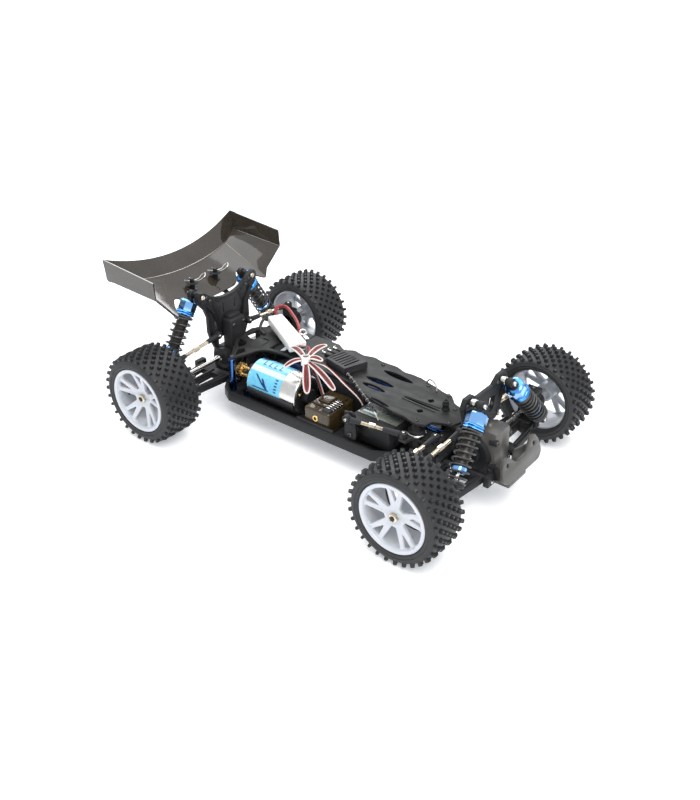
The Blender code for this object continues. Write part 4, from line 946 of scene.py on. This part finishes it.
def shock_towers():
    """The CAD plates, with bolts, the front's steel stand-offs, and the rear's ribs and eyelets."""
    for axle, x, bolts in ((FRONT, 276.0, [(29, 93), (17, 94), (9.5, 78), (21, 66)]),
                           (REAR, -4.0, [(24, 101), (28.5, 105.5), (7, 66), (20, 60)])):
        node = axle.name + "_shock_tower"
        tower = Piece(node + "_visual").add(cad_shape(node, 0.5))
        for y, z in bolts:
            for side in (1, -1):
                tower.screw((x, side * y, z), (1, 0, 0), 1.6)
        for side in (1, -1):
            _, top_y, top_z = axle.shock_top
            way = 1 if axle is REAR else -1
            tower.screw((x if axle is REAR else 272.0, side * top_y, top_z), (way, 0, 0), 2.4, GOLD_STEEL)
            link_y, link_z = axle.camber_inner
            tower.screw((x, side * link_y, link_z), (1, 0, 0), 1.7, GOLD_STEEL)
        if axle is FRONT:
            for side in (1, -1):
                tower.add(rod((276.2, side * 23.0, 94.0), (281.0, side * 23.0, 94.0), 3.5, sides=24), STEEL)
        else:
            for y, z in ((14, 97.6), (19, 99.2), (33.5, 100.5), (31.0, 96.0)):
                for side in (1, -1):
                    tower.add(ring((-3.9, side * y, z), X, 1.5, 0.45, 18, 6))
                    # a dark disc inside each eyelet: painted shade in its hole
                    pin_hole = rod((-4.4, side * y, z), (-3.85, side * y, z), 1.2, sides=14, bevel=0.1)
                    tower.add(pin_hole, DARK_AND_HOLE_SHADE)
            for side in (1, -1):
                rib = rounded(TOWER_RIB, 0.8)
                tower.add(plate([[(side * u, v) for u, v in rib]], 2.2, frame_of((-3.2, 0, 0), Y, UP), 0.4))
        tower.done("chassis", node)


def front_bumper():
    bumper = Piece("front_bumper_visual")
    lean = (-math.sin(BUMPER_TILT), 0.0, math.cos(BUMPER_TILT))
    half = [(25.0, 11.4), (30.8, 17), (29.4, 27), (24.6, 34.2), (19, 33.8), (8, 24)]
    outline = rounded(half + [(-u, v) for u, v in reversed(half)], 3.0)
    holes = [circle(1.8, 15, (side * 21, 27)) for side in (1, -1)]
    bumper.add(plate([outline, *holes], 2.8, frame_of((317.8, 0, 22), (0, 1, 0), lean), 0.6), CASE_GREY)
    for side in (1, -1):
        # the folded side walls, from the plate's outer edge back to the nose
        bumper.add(sheet_piece([(312.6, side * 28.4, 36.0), (310.0, side * 28.0, 48.0),
                                (298.0, side * 14.0, 40.0), (296.6, side * 13.5, 24.0),
                                (313.0, side * 22.5, 33.0)], 1.8), CASE_GREY)
    bumper.add(box((296.4, -14, 22.0), (311.0, 14, 25.6), 0.8), CASE_GREY)
    for side in (1, -1):
        bumper.screw((304, side * 8, 25.4), UP, 1.9)
    bumper.done("chassis", "front_bumper", slot="grey_composite")


# ---------------------------------------------------------------- rear wing
WING_HALF_SPAN = 82.0
WING_LEAD_DROP = 0.437  # how steeply the sheet falls from its fold to its leading edge
WING_CLIP_X = -35
PANEL = 0.72            # where the slanted side panels begin, as a part of the half span
SHEET = 1.1


def wing_section(station):
    """The sheet's points at one station across the span: lip, fold and leading edge."""
    s = abs(station)
    top = Vector((-76.5 + 4.0 * (1 - s ** 2), WING_HALF_SPAN * station, 124.5 + 17.4 * s ** 2))
    sweep = (min(s, PANEL) / PANEL) ** 2
    inner_fold = Vector((-58.5 - 5.0 * sweep, 0, 111.5 + 5.7 * sweep))
    if s <= PANEL:
        fold = inner_fold
        notch = 12.0 * math.exp(-((s - 0.50) / 0.10) ** 2)
        reach = -19.5 - notch + 10.0 * max(0.0, (s - 0.60) / 0.12)
        front = Vector((reach, 0, fold.z - (reach - fold.x) * WING_LEAD_DROP))
    else:
        t = (s - PANEL) / (1 - PANEL)
        fold = inner_fold.lerp(Vector((-73.9, 0, 123.1)), t)
        front = Vector((-14.0, 0, 95.6)).lerp(Vector((-10.5, 0, 120.0)), t)
    fold.y = front.y = WING_HALF_SPAN * station
    return top, fold, front


def rear_wing():
    outer = [PANEL, 0.79, 0.86, 0.93, 1.0]
    stations = [-s for s in reversed(outer)] + [-0.68 + 0.04 * i for i in range(35)] + outer
    rows_low, rows_high = 4, 7
    bm = bmesh.new()
    grid = []
    for station in stations:
        top, fold, front = wing_section(station)
        column = [top.lerp(fold, i / rows_low) for i in range(rows_low)]
        column += [fold.lerp(front, i / rows_high) for i in range(rows_high + 1)]
        grid.append([bm.verts.new(point) for point in column])
    skin(bm, grid, closed=False)
    for column, side in ((grid[0], -1), (grid[-1], 1)):
        corner_top = Vector((-12.0, side * WING_HALF_SPAN, 136.0))
        lip, crease, lead = column[0].co.copy(), column[rows_low].co.copy(), column[-1].co.copy()
        edges = [(lip.lerp(corner_top, i / 8), crease.lerp(lead, i / 8)) for i in range(9)]
        skin(bm, [[bm.verts.new(a.lerp(b, k / 3)) for k in range(4)] for a, b in edges], closed=False)
    bmesh.ops.remove_doubles(bm, verts=bm.verts, dist=0.01)
    bmesh.ops.recalc_face_normals(bm, faces=bm.faces)
    creases = [e for e in bm.edges if len(e.link_faces) == 2 and e.calc_face_angle(0.0) > math.radians(15)]
    bmesh.ops.bevel(bm, geom=creases, offset=1.6, segments=3, affect="EDGES", profile=0.5,
                    clamp_overlap=True)
    sheet = place_object("wing_sheet", bm)
    thicken = sheet.modifiers.new("thickness", "SOLIDIFY")
    thicken.thickness = SHEET
    thicken.offset = 0.0
    thicken.use_even_offset = True
    solid = bmesh.new()
    evaluated = sheet.evaluated_get(bpy.context.evaluated_depsgraph_get())
    solid.from_mesh(bpy.data.meshes.new_from_object(evaluated))
    bpy.data.objects.remove(sheet)
    wing = Piece("rear_wing_visual").add(solid, SMOKED)
    # pale tubes along the fold and beside each slanted panel: painted highlights on the creases
    lift = Vector((0.3, 0, 0.45))
    folds = [wing_section(PANEL * (i / 12 - 1))[1] + lift for i in range(25)]
    wing.add(tube(folds, 0.32, 6), CREASE_HIGHLIGHT)
    for side in (1, -1):
        _, fold, front = wing_section(side * PANEL)
        wing.add(tube([fold + lift, front + lift], 0.32, 6), CREASE_HIGHLIGHT)
        _, fold, front = wing_section(side * 0.995)
        wing.add(tube([fold + lift, front + lift], 0.3, 6), CREASE_HIGHLIGHT)
    wing.done("chassis", "rear_wing", slot="smoked_sheet")
    for side_name, side in SIDES:
        clip = Piece("wing_clip_" + side_name)
        y = side * 15.3
        post = [(0, 0), (0, 3.8), (0.8, 4.4), (3.4, 4.4), (3.9, 2.4), (13.6, 2.2), (14.2, 1.7), (14.2, 0)]
        washer = [(0, 0), (0, 5.4), (0.7, 5.6), (1.2, 5.0), (1.2, 0)]
        for z, profile, steps in ((98.0, post, 20), (107.5, washer, 24)):
            clip.add(lathe((WING_CLIP_X, y, z), (WING_CLIP_X, y, 110), profile, steps))
        path = [(-41, y - 4.0, 109.6), (-36.5, y - 2.0, 109.8), (-33.5, y + 1.4, 109.9),
                (-29.5, y + 1.0, 110.4), (-26.5, y + 3.4, 112.0), (-24.4, y + 6.4, 114.6),
                (-25.8, y + 8.6, 116.4), (-28.4, y + 7.0, 115.4), (-29.6, y + 3.6, 112.2),
                (-32.6, y + 0.2, 110.6), (-37.5, y + 0.6, 110.2), (-41.5, y + 2.4, 110.0)]
        clip.add(tube(smooth_path(path, 5), 0.55, 8), STEEL)
        clip.done("chassis", slot="bright_steel")


# ---------------------------------------------------------------- power train and electronics
MOTOR_Y, MOTOR_Z = -26.0, 43.0


def motor():
    piece = Piece("motor_visual")
    back, front = (0, MOTOR_Y, MOTOR_Z), (1, MOTOR_Y, MOTOR_Z)
    can = [(55.4, 0), (55.4, 16.6), (55.9, 17.5), (56.6, 17.8), (109.6, 17.8), (111.0, 17.2), (111.6, 16.4),
           (111.6, 0)]
    piece.add(lathe(back, front, can, 64), CAN)
    bell = [(110.0, 0), (110.0, 15.4), (111.9, 15.2), (112.2, 12.0), (112.4, 7.2), (116.6, 6.8),
            (117.4, 6.2), (117.4, 0)]
    piece.add(lathe(back, front, bell, 48))
    nose = [(43.5, 0), (43.5, 4.6), (44.1, 5.6), (46.4, 5.9), (46.4, 0)]
    piece.add(lathe(back, front, nose, 28), CAN)
    wrap = [(56.7, 17.8), (56.7, 17.96), (94.6, 17.96), (94.6, 17.8)]
    piece.add(lathe(back, front, wrap, 96, closed=True), LABEL_BLUE)

    def on_can(x, degrees, radius=18.0):
        # 0 degrees is the top of the can, and positive turns towards the car's right
        turn = math.radians(degrees)
        return Vector((x, MOTOR_Y - radius * math.sin(turn), MOTOR_Z + radius * math.cos(turn)))

    def patch(x_range, turn_range, material, radius=17.985, cells=14):
        """A thin printed patch wrapped on the label, between two distances and two angles."""
        bm = bmesh.new()
        rows = []
        for i in range(cells + 1):
            degrees = turn_range[0] + (turn_range[1] - turn_range[0]) * i / cells
            low, high = x_range(i / cells) if callable(x_range) else x_range
            corners = ((low, radius), (high, radius), (high, radius - 0.12), (low, radius - 0.12))
            rows.append([bm.verts.new(on_can(x, degrees, r)) for x, r in corners])
        skin(bm, rows)
        bm.faces.new(rows[0])
        bm.faces.new(rows[-1][::-1])
        bmesh.ops.recalc_face_normals(bm, faces=bm.faces)
        piece.add(bm, material)

    patch((56.8, 94.5), (22, 40), LABEL_WHITE)
    # a dark blue patch over the top and far side of the label's pinion end: painted shade
    patch(lambda t: (56.8, 74 - 10 * t), (-70, -8), DARK_BLUE)
    patch((56.8, 58.3), (-90, 90), LABEL_WHITE)
    # a plain arrow-like mark: two slanted bars, a long base line and short ticks
    patch(lambda t: (64 + 13 * t, 66.4 + 13.4 * t), (48, 82), LABEL_INK, 18.0)
    patch(lambda t: (72 + 6 * t, 74.4 + 6.4 * t), (56, 84), LABEL_INK, 18.0)
    patch((63, 82), (84, 88), LABEL_INK, 18.0, 3)
    for i in range(5):
        patch((87.5, 90.5), (44 + 9 * i, 48 + 9 * i), LABEL_INK, 18.0, 3)
    for i in range(4):
        patch((64.5 + 6.2 * i, 66.2 + 6.2 * i), (-4 - 2 * (i % 2), 14), LABEL_INK, 18.0, 6)
        patch((64.5 + 6.2 * i, 69.0 + 6.2 * i), (10, 14), LABEL_INK, 18.0, 3)
    # two dark plates on the can stand for its vents: painted shade in the openings
    for degrees in (-30, 150):
        round_the_can = on_can(0, degrees + 90, 1) - on_can(0, 0, 0)
        vent = rounded([(-4.5, -2.6), (4.5, -2.6), (4.5, 2.6), (-4.5, 2.6)], 2.2)
        piece.add(plate([vent], 1.0, frame_of(on_can(102, degrees, 17.5), X, round_the_can), 0.2), DARK_AND_HOLE_SHADE)
    for degrees in (60, -120):
        tab = on_can(111.9, degrees, 12.5)
        piece.add(box(tab - Vector((1, 1.6, 1.0)), tab + Vector((2.6, 1.6, 1.0)), 0.3), BRASS)
    piece.done("chassis", "motor", slot="motor_metal")

    mount = Piece("motor_mount")
    disc = [(46.0, 0), (46.0, 9.4), (46.6, 10.0), (52.0, 10.0), (52.6, 12.6), (55.5, 13.0), (55.5, 0)]
    mount.add(lathe(back, front, disc, 40))
    mount.add(box((45.4, MOTOR_Y - 12.0, TUB_FLOOR_Z), (54.6, MOTOR_Y + 16.0, 31.0), 0.8), DARK_BLUE)
    stud = [(0, 0), (0, 1.6), (0.5, 2.0), (2.2, 2.0), (2.2, 1.4), (8.0, 1.4), (8.0, 0)]
    for degrees in (38, 74):
        mount.add(lathe(on_can(42.4, degrees, 10.2), on_can(50, degrees, 10.2), stud, 18), BRASS)
    for y in (-8.0, 8.0):
        mount.screw((43.9, MOTOR_Y + y, MOTOR_Z), (-1, 0, 0), 1.6, STEEL)
    mount.done("chassis", slot="blue_anodised")

    # a dark curved sheet over the lower near side of the can: painted shade, and a painted reflection of
    # the black tub
    shade_sheet = Piece("motor_shade_sheet")
    outline = []
    for radius, turns in ((19.5, range(94, 149, 6)), (18.15, range(148, 93, -6))):
        outline += [tuple(on_can(0, degrees, radius).yz) for degrees in turns]
    shade_sheet.add(plate([outline], 54.0, frame_of((84.5, 0, 0), Y, UP), 0.3))
    shade_sheet.done("chassis")


def gear_profile(teeth, outer, root):
    outline = []
    for i in range(teeth):
        for part, radius in ((0.0, root), (0.30, root), (0.42, outer), (0.62, outer), (0.74, root)):
            turn = 2 * math.pi * (i + part) / teeth
            outline.append((radius * math.cos(turn), radius * math.sin(turn)))
    return outline


def transmission():
    shaft = Piece("centre_driveshaft_visual")
    place = frame_of((33.5, 0, SHAFT_Z), Y, UP)
    holes = [circle(3.2, 15, polar(11.5, 60 * k)) for k in range(6)]
    shaft.add(plate([gear_profile(65, 19.35, 18.5), *holes], 4.8, place, 0.25))
    shaft.add(rod((29.5, 0, SHAFT_Z), (38.2, 0, SHAFT_Z), 6.0), DARK_BLUE)
    shaft.add(rod((20.4, 0, SHAFT_Z), (254.6, 0, SHAFT_Z), 2.5, sides=20), DARK_BLUE)
    coupling = [(0, 0), (0, 3.4), (0.6, 4.0), (2.4, 4.0), (2.8, 3.4), (4.2, 3.4), (4.6, 4.0), (6.4, 4.0),
                (7.0, 3.4), (7.0, 0)]
    for low, high in ((20.4, 27.4), (247.6, 254.6)):
        shaft.add(lathe((low, 0, SHAFT_Z), (high, 0, SHAFT_Z), coupling, 24), STEEL)
    shaft.done("centre_driveshaft", "centre_driveshaft", slot="shaft_aluminium")
    pinion = Piece("motor_pinion_visual")
    place = frame_of((33.75, MOTOR_Y, MOTOR_Z), Y, UP)
    pinion.add(plate([gear_profile(21, 6.28, 5.3)], 5.4, place, 0.2), BRASS)
    boss = [(36.2, 0), (36.2, 4.4), (36.7, 4.6), (42.4, 4.6), (43.0, 4.1), (43.0, 0)]
    pinion.add(lathe((0, MOTOR_Y, MOTOR_Z), (1, MOTOR_Y, MOTOR_Z), boss, 28), BRASS)
    pinion.add(rod((30.9, MOTOR_Y, MOTOR_Z), (32.0, MOTOR_Y, MOTOR_Z), 1.6), STEEL)
    pinion.screw((39.5, MOTOR_Y, MOTOR_Z + 4.5), UP, 1.2)
    pinion.done("motor_pinion", "motor_pinion", slot="brass")


CELL_Z = 35.45


def battery():
    piece = Piece("battery_pack_visual")
    for y in (17.0, 34.5):
        profile = [(57.0, 0), (57.0, 9.4), (57.8, 10.2)]
        for cell in range(3):
            low = 57.8 + 44.9 * cell
            profile += [(low + 0.8, 10.45), (low + 43.2, 10.45), (low + 43.9, 9.9), (low + 44.3, 9.9)]
        profile += [(193.0, 9.4), (193.0, 0)]
        piece.add(lathe((0, y, CELL_Z), (1, y, CELL_Z), profile, 32), CELL_WRAP)
    piece.add(box((58, 17, 28.2), (192, 34.5, 42.6), 1.0), CELL_WRAP)
    piece.done("chassis", "battery_pack", slot="battery_wrap")
    # the tub's inner walls: one between the battery and the receiver, one beside the battery
    rail = Piece("battery_rail")
    rail.add(box((114, -6.9, 24.8), (158, -5.5, 56.8), 0.4))
    for x in (122, 136, 150):
        rail.add(box((x, -7.6, 24.8), (x + 1.4, -6.5, 52.0), 0.3))
    rail.add(box((140, 45.4, TUB_FLOOR_Z), (191, 46.4, 52.0), 0.3))
    rail.done("chassis")


def receiver():
    """The tinted box with its lid, five plug pins and a brass ring on its side."""
    piece = Piece("receiver_box_visual").add(cad_shape("receiver_box", 0.8), AMBER)
    piece.add(box((131, -34, 48.0), (143, -20, 50.6), 1.0), AMBER)
    for i in range(5):
        y = -40.0 + 3.1 * i
        piece.add(box((144.6, y, 48.3), (148.6, y + 1.4, 49.3), 0.3), STEEL)
        piece.add(rod((148.0, y + 0.7, 48.6), (154.0, y - 0.6, 49.8), 0.45, sides=8), STEEL)
    piece.add(box((143.6, -44.0, 46.2), (151.6, -24.0, 48.5), 0.4))
    knob = [(0, 1.7), (0, 2.7), (0.5, 3.1), (1.0, 2.7), (1.0, 1.7)]
    piece.add(lathe((137.7, -45.4, 38.3), (137.7, -47, 38.3), knob, 24, closed=True), BRASS)
    piece.done("chassis", "receiver_box", slot="receiver_case")


def speed_controller():
    """The finned case, and the three bullet connectors behind it."""
    piece = Piece("speed_controller_visual").add(cad_shape("speed_controller", 0.3))
    for i in range(3):
        base = Vector((104.0 + 1.6 * i, 14.5 + 6.2 * i, 63.6))
        piece.add(box(base - Vector((3.2, 2.2, 2.2)), base + Vector((4.6, 2.2, 2.2)), 0.5))
        piece.add(rod(base - Vector((6.8, -0.6, -1.2)), base, 1.25, sides=12), STEEL)
        piece.add(ring(base - Vector((6.4, -0.6, -1.2)), (1, 0, 0), 1.7, 0.5, 16, 6), STEEL)
    piece.done("chassis", "speed_controller")


def steering():
    """The servo with its horn, the drag link, the servo saver and what joins it to the far side."""
    servo = Piece("steering_servo_visual").add(cad_shape("steering_servo", 0.6))
    servo.add(box((169.5, -28, 48.9), (210, -9.5, 49.25), 0.12), SERVO_LABEL)
    servo.add(box((172, -24, 49.0), (186, -21.5, 49.34), 0.1), LABEL_WHITE)
    servo.add(box((172, -19, 49.0), (196, -17.8, 49.34), 0.1), SEAT_GREY)
    servo.add(rod((HORN_X, -39, HORN_Z), (HORN_X, -43.9, HORN_Z), 3.0, sides=24), STEEL)
    servo.screw((162.5, -31.0, 44.0), Y, 1.7)
    servo.done("chassis", "steering_servo")
    horn = Piece("servo_horn_visual")
    outline = rounded([(-5.8, -3.6), (0, -5.0), (5.8, -3.6), (6.2, 5), (4.6, 16), (4.2, 20.5), (0, 22.8),
                       (-4.2, 20.5), (-4.6, 16), (-6.2, 5)], 2.4)
    horn.add(plate([outline], 2.6, frame_of((HORN_X, -45.4, HORN_Z), X, UP), 0.4))
    horn.screw((HORN_X, -46.6, HORN_Z), (0, -1, 0), 2.2)
    horn.screw((HORN_X, -46.6, HORN_Z + 9.5), (0, -1, 0), 1.2)
    horn.add(rod((HORN_X, -46.4, HORN_Z + 18), (HORN_X, -49.0, HORN_Z + 18), 1.6, sides=14), STEEL)
    horn.done("servo_horn", "servo_horn")
    turnbuckle("drag_link", (HORN_X, -51.2, 55), (224, -38, 51.2), ((0, -1, 0), UP), (13.0, 18.0))
    saver = Piece("servo_saver_visual").add(cad_shape("servo_saver", 0.5))
    adjuster = [(0, 6.0), (0, 7.5), (0.5, 8.1), (1.6, 8.1), (2.1, 7.5), (2.1, 6.0)]
    saver.add(lathe((CRANK_X, -CRANK_Y, 46.2), (CRANK_X, -CRANK_Y, 50), adjuster, 32, closed=True), STEEL)
    saver.screw((224, -38, 48.0), UP, 1.6, STEEL)
    saver.done("servo_saver", "servo_saver")
    link = Piece("steering_link_visual").add(cad_shape("steering_link", 0.5))
    for side in (1, -1):
        stud_y = side * HALF_LINK
        link.add(rod((STEER_X, stud_y, 48.2), (STEER_X, stud_y, TIE_ROD_Z), 1.5, sides=12), STEEL)
        link.screw((STEER_X, side * 16, 48.4), UP, 1.5)
    link.done("steering_link", "steering_link")
    post = Piece("second_bellcrank")
    sleeve = [(0, 2.4), (0, 4.2), (18.5, 4.2), (19.0, 6.4), (19.6, 7.4), (21.5, 7.4), (22.1, 6.4),
              (22.6, 4.2), (32.2, 4.2), (32.2, 2.4)]
    for z, profile, steps, material in ((25.0, sleeve, 28, COMPOSITE), (45.6, adjuster, 32, STEEL)):
        post.add(lathe((CRANK_X, CRANK_Y, z), (CRANK_X, CRANK_Y, z + 1), profile, steps, closed=True),
                 material)
    post.done("chassis")


# ---------------------------------------------------------------- wiring
KNOT = Vector((111.7, -26.3, 78.0))
PETAL_ENDS = [(84, -12, 76), (100, -40, 74), (124.7, -41, 58), (144, -28.6, 62), (107, 6, 78),
              (124.6, -21.2, 80)]
PETAL_HALF_WIDTH = 1.6


def ribbon(piece, points, materials, wire=0.62, across=None):
    """A flat cable: several wires side by side along one path."""
    path = smooth_path(points, 5)
    count = len(materials)
    for k, material in enumerate(materials):
        offset = (k - (count - 1) / 2) * wire * 1.9
        line = []
        for i, point in enumerate(path):
            along = (path[min(i + 1, len(path) - 1)] - path[max(i - 1, 0)]).normalized()
            side = (across or Vector((0, 0, 1))).cross(along)
            side = side.normalized() if side.length > 1e-3 else Vector((1, 0, 0))
            line.append(point + side * offset)
        piece.add(tube(line, wire, 8), material)


def wiring():
    """The tied loops, the white plug with its leads, and the aerial's cable."""
    piece = Piece("wiring_loom_visual")
    cable = (WIRE_BLACK, WIRE_RED, WIRE_WHITE)
    tied = (WIRE_WHITE, WIRE_RED, WIRE_BLACK)
    for end in PETAL_ENDS:
        out = Vector(end) - KNOT
        side = Vector(UP).cross(out).normalized()
        points = []
        for i in range(13):
            turn = math.pi * (0.3 + 0.95 * i) / 12
            reach = math.sin(turn)
            points.append(KNOT + out * reach + side * (PETAL_HALF_WIDTH * math.sin(2 * turn))
                          + Vector((0, 0, 12.0 * reach * (1 - reach))))
        ribbon(piece, points, tied, 0.70, side.cross(out).normalized())
    tie, half_tie = [(0, 3.2), (0.4, 4.2), (8.4, 4.2), (8.8, 3.2)], Vector((0, 0, 4.4))
    piece.add(lathe(KNOT - half_tie, KNOT + half_tie, tie, 20, closed=True), PAPER_WHITE)
    piece.add(ball(KNOT, 4.0), WIRE_BLACK)
    to_plug = [KNOT, (104, -14, 78), (95, -4, 76), (86, 0, 72), (76, 4, 68)]
    ribbon(piece, to_plug, (WIRE_RED, WIRE_BLACK), 1.15)
    ribbon(piece, [KNOT, (116, -24, 72), (124, -25, 62), (130, -26, 50)], cable)
    to_servo = [KNOT, (124, -22, 77), (134, -20.5, 74), (151.5, -22, 66), (163, -18, 55),
                (166.7, -16.5, 48.5)]
    ribbon(piece, to_servo, (WIRE_WHITE, WIRE_RED), 0.5)
    start, end = Vector((22.0, 35.0, 68)), Vector((78.0, 3.0, 68))
    along = (end - start).normalized()
    across = Vector((-along.y, along.x, 0))
    length = (end - start).length
    middle = (start + end) / 2
    sleeve = rounded([(-length / 2, -7.4), (length / 2, -8.4), (length / 2, 8.4), (-length / 2, 7.4)], 1.6)
    piece.add(plate([sleeve], 8.2, frame_of(middle, along, across), 1.0), PAPER_WHITE)
    for offset in (-3.2, 3.2):
        crease = [(-length / 2 + 3, offset - 0.5), (length / 2 - 4, offset - 0.5),
                  (length / 2 - 4, offset + 0.5), (-length / 2 + 3, offset + 0.5)]
        piece.add(plate([crease], 0.8, frame_of(middle + Vector((0, 0, 4.1)), along, across), 0.25),
                  PAPER_WHITE)
    red = [start - along * 1 + across * 3, (16.5, 42.5, 73.5), (18.0, 47.5, 75.5), (27, 48.0, 76),
           (48.6, 35.1, 75), (62, 24, 74), (66, 20, 71), (70, 14, 66)]
    piece.add(tube(smooth_path(red, 6), 1.5, 10), WIRE_RED)
    black = [start - along * 1 - across * 3, (15.5, 33, 71), (13.5, 26, 66), (17, 19, 61), (26, 15, 60)]
    piece.add(tube(smooth_path(black, 6), 1.5, 10), WIRE_BLACK)
    piece.add(ring((68.5, 21.5, 73), (0.3, -0.3, 1), 3.0, 0.8, 24, 8), STEEL)
    piece.add(plate([rounded([(-4.2, -1.8), (4.2, -1.8), (4.2, 1.8), (-4.2, 1.8)], 0.8)], 0.9,
                    frame_of((75.5, 17.5, 71.5), along, across), 0.2), SEAT_GREY)
    aerial = smooth_path([(128, 6, 61.6), (139.5, -2.3, 63), (152, -9, 62.4), (162.6, -15.5, 61),
                          (176, -23, 60), (184.6, -27.9, 58)], 6)
    piece.add(tube(aerial, 1.15, 10), WIRE_BLACK)
    for i in range(3, len(aerial) - 2, 3):
        piece.add(ring(aerial[i], aerial[i + 1] - aerial[i], 1.3, 0.3, 16, 6), SEAT_GREY)
    piece.add(ring((187.0, -29.0, 57.5), (0.2, 0.5, 1), 2.6, 0.7, 20, 8), WIRE_BLACK)
    piece.add(tube(smooth_path([(188.5, -30.5, 57.5), (191.5, -31.5, 55), (193, -30.2, 50)], 6), 0.5, 8),
              WIRE_WHITE)
    return piece.done("chassis", "wiring_loom", slot="wire_insulation")


# ---------------------------------------------------------------- light, floor and camera
CAMERA_AT = (607.35, -609.75, 488.1)
CAMERA_TURN = (37.467, 30.462, 0.227)      # azimuth, elevation and roll in degrees
LENS = 44.997


def camera():
    azimuth, elevation, roll = (math.radians(angle) for angle in CAMERA_TURN)
    level_reach = math.cos(elevation)
    back = Vector((math.sin(azimuth) * level_reach, -math.cos(azimuth) * level_reach, math.sin(elevation)))
    right = Vector(UP).cross(back).normalized()
    up = back.cross(right)
    right, up = right * math.cos(roll) + up * math.sin(roll), up * math.cos(roll) - right * math.sin(roll)
    made = bpy.data.objects.new("camera", bpy.data.cameras.new("camera"))
    made.data.lens = LENS
    made.data.clip_start = 0.01
    made.matrix_world = Matrix.Translation(at(*CAMERA_AT)) @ Matrix((right, up, back)).transposed().to_4x4()
    bpy.context.scene.collection.objects.link(made)
    bpy.context.scene.camera = made


def area_light(name, place, target, size, power, colour=(1, 1, 1)):
    made = bpy.data.objects.new(name, bpy.data.lights.new(name, "AREA"))
    made.data.shape = "RECTANGLE"
    made.data.size, made.data.size_y = size
    made.data.energy = power
    made.data.color = colour
    made.location = Vector(place)
    made.rotation_euler = (Vector(target) - Vector(place)).to_track_quat("-Z", "Y").to_euler()
    bpy.context.scene.collection.objects.link(made)


def stage():
    bm = bmesh.new()
    bmesh.ops.create_grid(bm, x_segments=1, y_segments=1, size=6.0)
    nodes = Nodes("floor_paper")
    tint = nodes.mix(nodes.noise(220.0), (0.86, 0.865, 0.875), (0.90, 0.905, 0.91))
    nodes.link(tint, nodes.shader, "Base Color")
    nodes.set(Roughness=0.85, Emission_Color=(0.95, 0.97, 1.0, 1.0), Emission_Strength=0.30)
    floor = place_object("floor", bm)
    floor.data.materials.append(nodes.material)
    world = bpy.data.worlds.new("studio")
    world.use_nodes = True
    world.node_tree.nodes["Background"].inputs["Color"].default_value = (0.93, 0.96, 1.0, 1.0)
    world.node_tree.nodes["Background"].inputs["Strength"].default_value = 1.0
    bpy.context.scene.world = world
    area_light("overhead", (0.0, 0.15, 1.5), (0, 0, 0), (1.6, 1.6), 13.0)
    area_light("key", (0.75, -0.55, 1.15), (0, 0, 0.03), (0.7, 0.7), 11.0, (1.0, 0.98, 0.95))
    area_light("rim_light", (-0.9, 0.9, 0.9), (0, 0, 0.05), (1.0, 0.6), 10.0)
    bpy.context.scene.view_settings.view_transform = "Standard"


# ---------------------------------------------------------------- the whole car
def build():
    camera()
    stage()
    for axle in (FRONT, REAR):
        for side_name, side in SIDES:
            name = axle.name + "_" + side_name
            rim(axle, name, side)
            tyre(axle, name, side)
            shock(axle, name, side)
            lower_arm(axle, name, side)
            hinge_pins(axle, name, side)
            hub_carrier(axle, name, side)
            driveshaft(axle, name, side)
            x = axle.x + axle.camber_x
            (inner_y, inner_z), (outer_y, outer_z) = axle.camber_inner, axle.camber_outer
            turnbuckle(name + "_camber_link", (x, side * inner_y, inner_z),
                       (x, side * outer_y, outer_z), (X, UP))
            if axle is FRONT:
                knuckle(name, side)
                turnbuckle(name + "_tie_rod", (STEER_X, side * HALF_LINK, TIE_ROD_Z),
                           (STEER_X, side * (KNUCKLE_Y - 4), TIE_ROD_Z), (UP, UP), (17.0, 15.0))
    chassis_tub()
    upper_deck()
    gearboxes()
    shock_towers()
    front_bumper()
    rear_wing()
    motor()
    transmission()
    battery()
    receiver()
    speed_controller()
    steering()
    wiring()


build()
